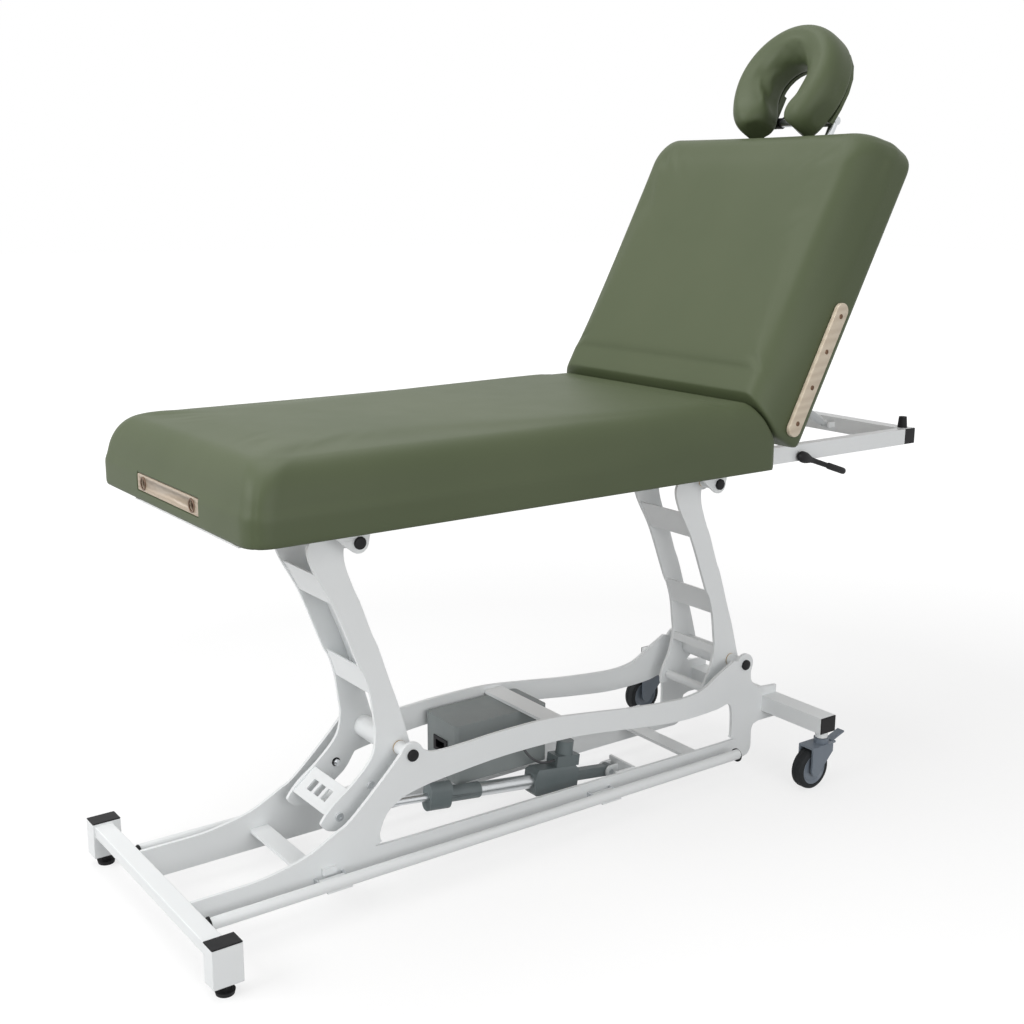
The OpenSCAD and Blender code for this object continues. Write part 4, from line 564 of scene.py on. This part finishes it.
def face_points(unit):
    """Draws the unit box along the crescent: flat below, a ridge near the outside, a slope to the hole."""
    rows = np.clip(unit[:, 0] / 0.82 + 0.5, 0, 1)
    x, y = face_line(rows)
    xa, ya = face_line(np.clip(rows - 0.002, 0, 1))
    xb, yb = face_line(np.clip(rows + 0.002, 0, 1))
    way = np.stack([xb - xa, yb - ya], axis=1)
    way /= np.linalg.norm(way, axis=1, keepdims=True)
    a, b = unit[:, 1] * 2, unit[:, 2] * 2
    square = np.maximum(np.abs(a), np.abs(b))
    power = np.where(b > 0, 2.5, 7.0)
    reach = (np.abs(a) ** power + np.abs(b) ** power) ** (1 / power)
    pull = square / np.maximum(reach, 1e-9)
    a, b = a * pull, b * pull
    slope = np.clip((FACE_RIDGE - a) / (1 + FACE_RIDGE), 0, 1) ** 1.6
    above = (1 - FACE_WAIST) * b * (1 - FACE_DIP * slope)
    height = FACE_THICK * (FACE_WAIST + np.where(b > 0, above, FACE_WAIST * b))
    round_off = np.clip((np.abs(unit[:, 0]) - 0.41) / 0.09, 0, 1) * math.radians(82)
    height *= 0.7 + 0.3 * np.cos(round_off)
    wide = FACE_HALF * a * np.cos(round_off) ** 0.5
    cap = FACE_HALF * np.sin(round_off) * np.sign(unit[:, 0])
    px = x + way[:, 1] * wide + way[:, 0] * cap
    py = y - way[:, 0] * wide + way[:, 1] * cap
    return np.stack([FACE_FROM_HINGE + px, py, FACE_LOW + height], axis=1)


face_cover = mesh_object("face_cover", gridded_box((78, 15, 13)), finish["vinyl"])
face_unit = points_of(face_cover)
move_points(face_cover, face_points(face_unit) * MM)
swell(face_cover, face_unit[:, 2] < -0.45, 4.0, 3.0 * MM)
finer(face_cover)
face_cover.data.transform(back_place)
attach(face_cover, "face_rest")
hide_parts("cradle_cushion")


# Control lead between the actuator's motor and the control box
LEAD_POINTS = ((-98.485, -25, 182), (-98.485, -39, 182), (-94.485, -50, 173), (-78.485, -57, 150),
               (-52.485, -58, 132), (-28.485, -57, 126), (-14.7, -57, 126), (-6.0, -57, 126.5))
LEAD_THICK = 6.0


def smooth_route(points, steps):
    """Points of one smooth line through a route's points, in metres."""
    route = [Vector(p) * MM for p in points]
    out = []
    for i in range(len(route) - 1):
        before, a, b, after = route[max(i - 1, 0)], route[i], route[i + 1], route[min(i + 2, len(route) - 1)]
        for k in range(steps):
            t = k / steps
            out.append(0.5 * (2 * a + (b - before) * t + (2 * before - 5 * a + 4 * b - after) * t * t
                              + (3 * a - before - 3 * b + after) * t ** 3))
    return out + [route[-1]]


def tube_mesh(name, path, thick, material):
    """A round tube along a path, made from a curve and kept as a mesh."""
    line = bpy.data.curves.new(name, "CURVE")
    line.dimensions = "3D"
    line.bevel_depth = thick / 2 * MM
    line.bevel_resolution = 4
    line.use_fill_caps = True
    spline = line.splines.new("POLY")
    spline.points.add(len(path) - 1)
    for point, at in zip(spline.points, path):
        point.co = (*at, 1)
    carrier = bpy.data.objects.new(name + "_line", line)
    bpy.context.scene.collection.objects.link(carrier)
    mesh = bpy.data.meshes.new_from_object(carrier.evaluated_get(bpy.context.evaluated_depsgraph_get()))
    bpy.data.objects.remove(carrier)
    bpy.data.curves.remove(line)
    mesh.name = name
    mesh.materials.clear()
    mesh.materials.append(material)
    for face in mesh.polygons:
        face.use_smooth = True
    obj = bpy.data.objects.new(name, mesh)
    bpy.context.scene.collection.objects.link(obj)
    return obj


lead_path = smooth_route(LEAD_POINTS, 5)
lead = tube_mesh("motor_lead", lead_path, LEAD_THICK, finish["cable"])
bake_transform(lead)
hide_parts("control_lead")


# Small fittings turned on a lathe
def turned(name, profile, material, places, segments=40):
    """A closed profile of (distance along the axis, radius) in mm, spun round and set at each place."""
    whole = bmesh.new()
    for origin, axis in places:
        bm = bmesh.new()
        ring = [bm.verts.new((x * MM, 0, r * MM)) for x, r in profile]
        edges = [bm.edges.new((a, b)) for a, b in zip(ring, ring[1:] + ring[:1])
                 if a.co.z > 1e-9 or b.co.z > 1e-9]
        bmesh.ops.spin(bm, geom=ring + edges, cent=(0, 0, 0), axis=(1, 0, 0), dvec=(0, 0, 0),
                       angle=math.tau, steps=segments, use_merge=True, use_duplicate=False)
        bmesh.ops.remove_doubles(bm, verts=bm.verts, dist=1e-6)
        bmesh.ops.recalc_face_normals(bm, faces=bm.faces)
        turn = Vector((1, 0, 0)).rotation_difference(Vector(axis)).to_matrix().to_4x4()
        bm.transform(Matrix.Translation(Vector(origin) * MM) @ turn)
        part = bpy.data.meshes.new("part")
        bm.to_mesh(part)
        bm.free()
        whole.from_mesh(part)
        bpy.data.meshes.remove(part)
    return smooth_between_edges(mesh_object(name, whole, material))


def rider(obj, body):
    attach(obj, body)
    return obj


both_ways = ((0, -1, 0), (0, 1, 0))
cap_profile = ((-2.5, 0), (-2.5, 12.7), (1.2, 12.7), (2.6, 11.6), (3.5, 9.0), (3.9, 5.0), (4.0, 0))
rider(turned("lower_pivot_caps", cap_profile, finish["black_plastic"],
             [((x, PIVOT_FACE_Y * way[1], PIVOT_LOW_Z), way) for x in LOWER_PIVOTS_X for way in both_ways]),
      "base")
rider(turned("upper_pivot_caps", cap_profile, finish["black_plastic"],
             [((x, PIVOT_FACE_Y * way[1], PIVOT_HIGH_Z), way) for x in UPPER_PIVOTS_X for way in both_ways]),
      "top")

plug_profile = ((-1, 0), (-1, 16.3), (2.0, 16.3), (3.4, 15.2), (4.0, 13.5), (4.0, 0))
for side, sign in SIDES:
    rider(turned(side + "_foot_bar_plugs", plug_profile, finish["black_plastic"],
                 [((x, sign * FOOT_BAR_Y, FOOT_BAR_Z), (way, 0, 0))
                  for x, way in zip(FOOT_BAR_ENDS_X, (-1, 1))]),
          side + "_foot_bar")

tyre_profile = ((-15.4, 37), (-16, 40), (-15.2, 45), (-12.6, 48.6), (-8, 49.9), (-3.2, 50), (-2.4, 48.9),
                (2.4, 48.9), (3.2, 50), (8, 49.9), (12.6, 48.6), (15.2, 45), (16, 40), (15.4, 37))
hub_profile = ((-13, 0), (-13, 9), (-11, 11), (-10.4, 30), (-13.4, 33), (-15.0, 36), (-14.6, 37.4),
               (14.6, 37.4), (15.0, 36), (13.4, 33), (10.4, 30), (11, 11), (13, 9), (13, 0))
for side, sign in SIDES:
    place = [((WHEEL_X, sign * WHEEL_Y, WHEEL_Z), (0, 1, 0))]
    tyre = rider(turned(side + "_tyre", tyre_profile, finish["tyre_rubber"], place, 64), side + "_wheel")
    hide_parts(side + "_caster_wheel")
    rider(turned(side + "_wheel_hub", hub_profile, finish["caster_blue"], place, 48), side + "_wheel")

bolt_places = {"foot_leg": (-505.6, 202.1), "head_leg": (451.4, 202.1)}
washer_profile = ((0.2, 5), (0.2, 9.6), (1.6, 9.6), (1.9, 9.2), (1.9, 5))
nut_profile = ((1.8, 0), (1.8, 7.6), (6.2, 7.6), (6.8, 6.6), (6.8, 4.2), (9.5, 4.2), (10.2, 3.4), (10.2, 0))
head_profile = ((-0.5, 0), (-0.5, 9.6), (3.0, 9.6), (4.0, 8.6), (4.0, 4.4), (1.6, 3.8), (1.6, 0))
for leg, (x, z) in bolt_places.items():
    inner = [((x, LEG_INSIDE_Y * y, z), (0, -y, 0)) for y in (-1, 1)]
    rider(turned(leg + "_washers", washer_profile, finish["black_plastic"], inner, 32), leg)
    rider(turned(leg + "_nuts", nut_profile, finish["bright_steel"], inner, 6), leg)
crank_end = (-580.5, 153)
heads = [((x, LEG_OUTSIDE_Y * y, z), (0, y, 0))
         for x, z in (bolt_places["foot_leg"], crank_end) for y in (-1, 1)]
bolt_heads = rider(turned("leg_bolt_heads", head_profile, finish["bright_steel"], heads, 32), "foot_leg")
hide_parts("crank_bolts")

rim_profile = ((-1.0, 9.8), (1.1, 9.8), (1.5, 10.4), (1.5, 12.4), (0.9, 13.2), (-1.0, 13.2))
rider(turned("socket_rims", rim_profile, screw_brown,
             [((FOOT_FACE_X, y, SOCKET_Z), (-1, 0, 0)) for y in (-SOCKET_Y, SOCKET_Y)]), "top")


def wooden_board(name, corners, round_axis, radius, ease, material):
    """A board whose four corners are rounded across one axis and whose edges are eased, in mm."""
    low, high = (Vector(c) * MM for c in corners)
    bm = bmesh.new()
    bmesh.ops.create_cube(bm, size=1.0)
    bmesh.ops.scale(bm, vec=high - low, verts=bm.verts)
    bmesh.ops.translate(bm, vec=(high + low) / 2, verts=bm.verts)
    along = [e for e in bm.edges if abs((e.verts[1].co - e.verts[0].co)[round_axis]) > 1e-6]
    bmesh.ops.bevel(bm, geom=along, offset=radius * MM, offset_type="OFFSET", affect="EDGES", segments=12,
                    profile=0.5, material=-1, clamp_overlap=True)
    faces = [f for f in bm.faces if abs(f.normal[round_axis]) > 0.9]
    rim = list({e for f in faces for e in f.edges})
    bmesh.ops.bevel(bm, geom=rim, offset=ease * MM, offset_type="OFFSET", affect="EDGES", segments=3,
                    profile=0.5, material=-1, clamp_overlap=True)
    return smooth_between_edges(mesh_object(name, bm, material))


for side, sign in SIDES:
    faces_y = sorted((sign * 355.8, sign * 366.5))
    strip = wooden_board(side + "_strip", ((STRIP_START, faces_y[0], STRIP_LOW),
                                           (STRIP_START + STRIP_LENGTH, faces_y[1], STRIP_HIGH)),
                         1, 17.9, 1.8, strip_wood)
    strip.data.transform(back_place)
    rider(strip, "back")
    if sign < 0:
        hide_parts("side_strips")
screw_profile = ((-1, 0), (-1, 5.4), (0.6, 5.4), (1.3, 4.4), (1.6, 2.6), (0.7, 2.2), (0.7, 0))
screw_places = [((STRIP_START + STRIP_LENGTH * share, y * 366.4, (STRIP_LOW + STRIP_HIGH) / 2), (0, y, 0))
                for share in (0.096, 0.366, 0.636, 0.904) for y in (-1, 1)]
screws = turned("strip_screws", screw_profile, screw_brown, screw_places, 24)
screws.data.transform(back_place)
rider(screws, "back")
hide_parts("side_strip_screws")

end_face = wooden_board("end_block_face", ((FOOT_FACE_X, -143.4, 832), (-871.9, 143.4, 864.6)), 0, 3.5, 1.4,
                        finish["wood"])
for y in (-SOCKET_Y, SOCKET_Y):
    bore = bmesh.new()
    bmesh.ops.create_cone(bore, cap_ends=True, segments=40, radius1=9.8 * MM, radius2=9.8 * MM,
                          depth=30 * MM, matrix=Matrix.Translation((-0.875, y * MM, SOCKET_Z * MM))
                          @ Matrix.Rotation(math.pi / 2, 4, "Y"))
    cut_away(end_face, bore)
rider(end_face, "top")

# Release lever: an oval hub that runs into a straight round grip
LEVER_X, LEVER_Y, LEVER_Z, LEVER_DROOP = 552.5, -248.9, 803.0, math.radians(19)
grip_profile = ((-15.5, 0), (-15, 4), (-12, 8.6), (-6, 12), (2, 13.4), (12, 13), (22, 10.6), (31, 7.6),
                (40, 6.3), (92, 6.0), (94, 7.4), (98, 7.9), (150, 7.9), (156, 7.2), (159, 5), (160, 0))
handle = turned("lever_handle", grip_profile, finish["black_plastic"], [((0, 0, 0), (1, 0, 0))], 36)
handle.data.transform(Matrix.Translation(Vector((LEVER_X, LEVER_Y, LEVER_Z)) * MM)
                      @ Matrix.Rotation(LEVER_DROOP, 4, "Y") @ Matrix.Diagonal((1, 0.62, 1, 1)))
rider(handle, "lever")
shaft_profile = ((-1, 0), (-1, 5), (27, 5), (27, 8), (30.5, 8), (31, 7.4), (31, 0))
shaft = turned("lever_shaft", shaft_profile, finish["black_plastic"],
               [((LEVER_X, -240, LEVER_Z), (0, 1, 0))], 32)
rider(shaft, "lever")
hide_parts("release_lever")

gland_profile = ((-1, 3.1), (-1, 8.5), (4, 8.5), (4.6, 6.9), (6, 6.9), (6.6, 6.0), (8, 6.0), (8.6, 5.2),
                 (12, 4.4), (16, 3.6), (16, 3.1))
rider(turned("lead_gland", gland_profile, finish["black_plastic"], [((-98.485, -18, 182), (0, -1, 0))]),
      "base")


# Camera at the photograph's viewing angle
yaw, pitch, roll = math.radians(-35.9926), math.radians(13.0904), math.radians(0.2813)
ahead = Vector((-math.sin(yaw) * math.cos(pitch), math.cos(yaw) * math.cos(pitch), -math.sin(pitch)))
level = Vector((math.cos(yaw), math.sin(yaw), 0))
upward = level.cross(ahead)
right = math.cos(roll) * level + math.sin(roll) * upward
up = -math.sin(roll) * level + math.cos(roll) * upward
camera = bpy.data.objects.new("camera", bpy.data.cameras.new("camera"))
bpy.context.scene.collection.objects.link(camera)
camera.data.lens = 47.89
camera.data.sensor_width = 36.0
camera.data.clip_end = 60.0
camera.matrix_world = Matrix.Translation((-1.80271, -2.35397, 1.38679)) @ Matrix(
    (right, up, -ahead)).transposed().to_4x4()
bpy.context.scene.camera = camera


# Floor, background and light
def seen_directly(tree):
    """1 for a ray from the camera, a reflection or a pane, and 0 for the light that the floor gives back."""
    path = add_node(tree, "ShaderNodeLightPath")
    seen = add_node(tree, "ShaderNodeMath", operation="MAXIMUM")
    also = add_node(tree, "ShaderNodeMath", operation="MAXIMUM")
    tree.links.new(path.outputs["Is Camera Ray"], seen.inputs[0])
    tree.links.new(path.outputs["Is Glossy Ray"], seen.inputs[1])
    tree.links.new(seen.outputs[0], also.inputs[0])
    tree.links.new(path.outputs["Is Transmission Ray"], also.inputs[1])
    return also.outputs[0]


def floor_material():
    """A pale studio floor that keeps the table's shadow and turns white further out."""
    mat = bpy.data.materials.new("studio_floor")
    mat.use_nodes = True
    tree = mat.node_tree
    tree.nodes.clear()
    out = add_node(tree, "ShaderNodeOutputMaterial")
    plain = add_node(tree, "ShaderNodeBsdfDiffuse")
    plain.inputs["Color"].default_value = (0.45, 0.45, 0.45, 1)
    shaded = add_node(tree, "ShaderNodeBsdfDiffuse")
    shaded.inputs["Color"].default_value = (0.3, 0.3, 0.3, 1)
    glow = add_node(tree, "ShaderNodeEmission")
    coord = add_node(tree, "ShaderNodeTexCoord")
    length = add_node(tree, "ShaderNodeVectorMath", operation="LENGTH")
    tree.links.new(coord.outputs["Object"], length.inputs[0])
    outwards = add_node(tree, "ShaderNodeMapRange")
    outwards.inputs["From Min"].default_value = 1.6
    outwards.inputs["From Max"].default_value = 4.5
    outwards.inputs["To Min"].default_value = 0.72
    outwards.inputs["To Max"].default_value = 1.0
    tree.links.new(length.outputs["Value"], outwards.inputs["Value"])
    tree.links.new(outwards.outputs["Result"], glow.inputs["Strength"])
    both = add_node(tree, "ShaderNodeAddShader")
    tree.links.new(shaded.outputs[0], both.inputs[0])
    tree.links.new(glow.outputs[0], both.inputs[1])
    mix = add_node(tree, "ShaderNodeMixShader")
    tree.links.new(seen_directly(tree), mix.inputs[0])
    tree.links.new(plain.outputs[0], mix.inputs[1])
    tree.links.new(both.outputs[0], mix.inputs[2])
    tree.links.new(mix.outputs[0], out.inputs["Surface"])
    return mat


floor_bm = bmesh.new()
bmesh.ops.create_grid(floor_bm, x_segments=1, y_segments=1, size=30.0)
floor = mesh_object("studio_floor", floor_bm, floor_material())


def studio_world():
    world = bpy.data.worlds.new("studio")
    bpy.context.scene.world = world
    world.use_nodes = True
    tree = world.node_tree
    back = tree.nodes["Background"]
    back.inputs["Color"].default_value = (1, 1, 1, 1)
    level_of = add_node(tree, "ShaderNodeMapRange")
    level_of.inputs["To Min"].default_value = 0.38
    level_of.inputs["To Max"].default_value = 1.0
    tree.links.new(seen_directly(tree), level_of.inputs["Value"])
    tree.links.new(level_of.outputs["Result"], back.inputs["Strength"])


studio_world()


def lamp(name, at, target, size, power):
    data = bpy.data.lights.new(name, "AREA")
    data.shape = "RECTANGLE"
    data.size, data.size_y = size
    data.energy = power
    obj = bpy.data.objects.new(name, data)
    bpy.context.scene.collection.objects.link(obj)
    obj.location = at
    obj.rotation_euler = (Vector(target) - Vector(at)).to_track_quat("-Z", "Y").to_euler()
    return obj


lamp("key", (-4.6, 0.6, 3.0), (0, 0, 0.8), (3.0, 2.4), 138)
lamp("overhead", (-0.6, 0.5, 4.2), (0, 0, 0.8), (3.4, 2.6), 66)
lamp("front", (-0.8, -4.6, 1.8), (0, 0, 0.6), (3.2, 2.0), 76)

bpy.context.scene.view_settings.view_transform = "Standard"
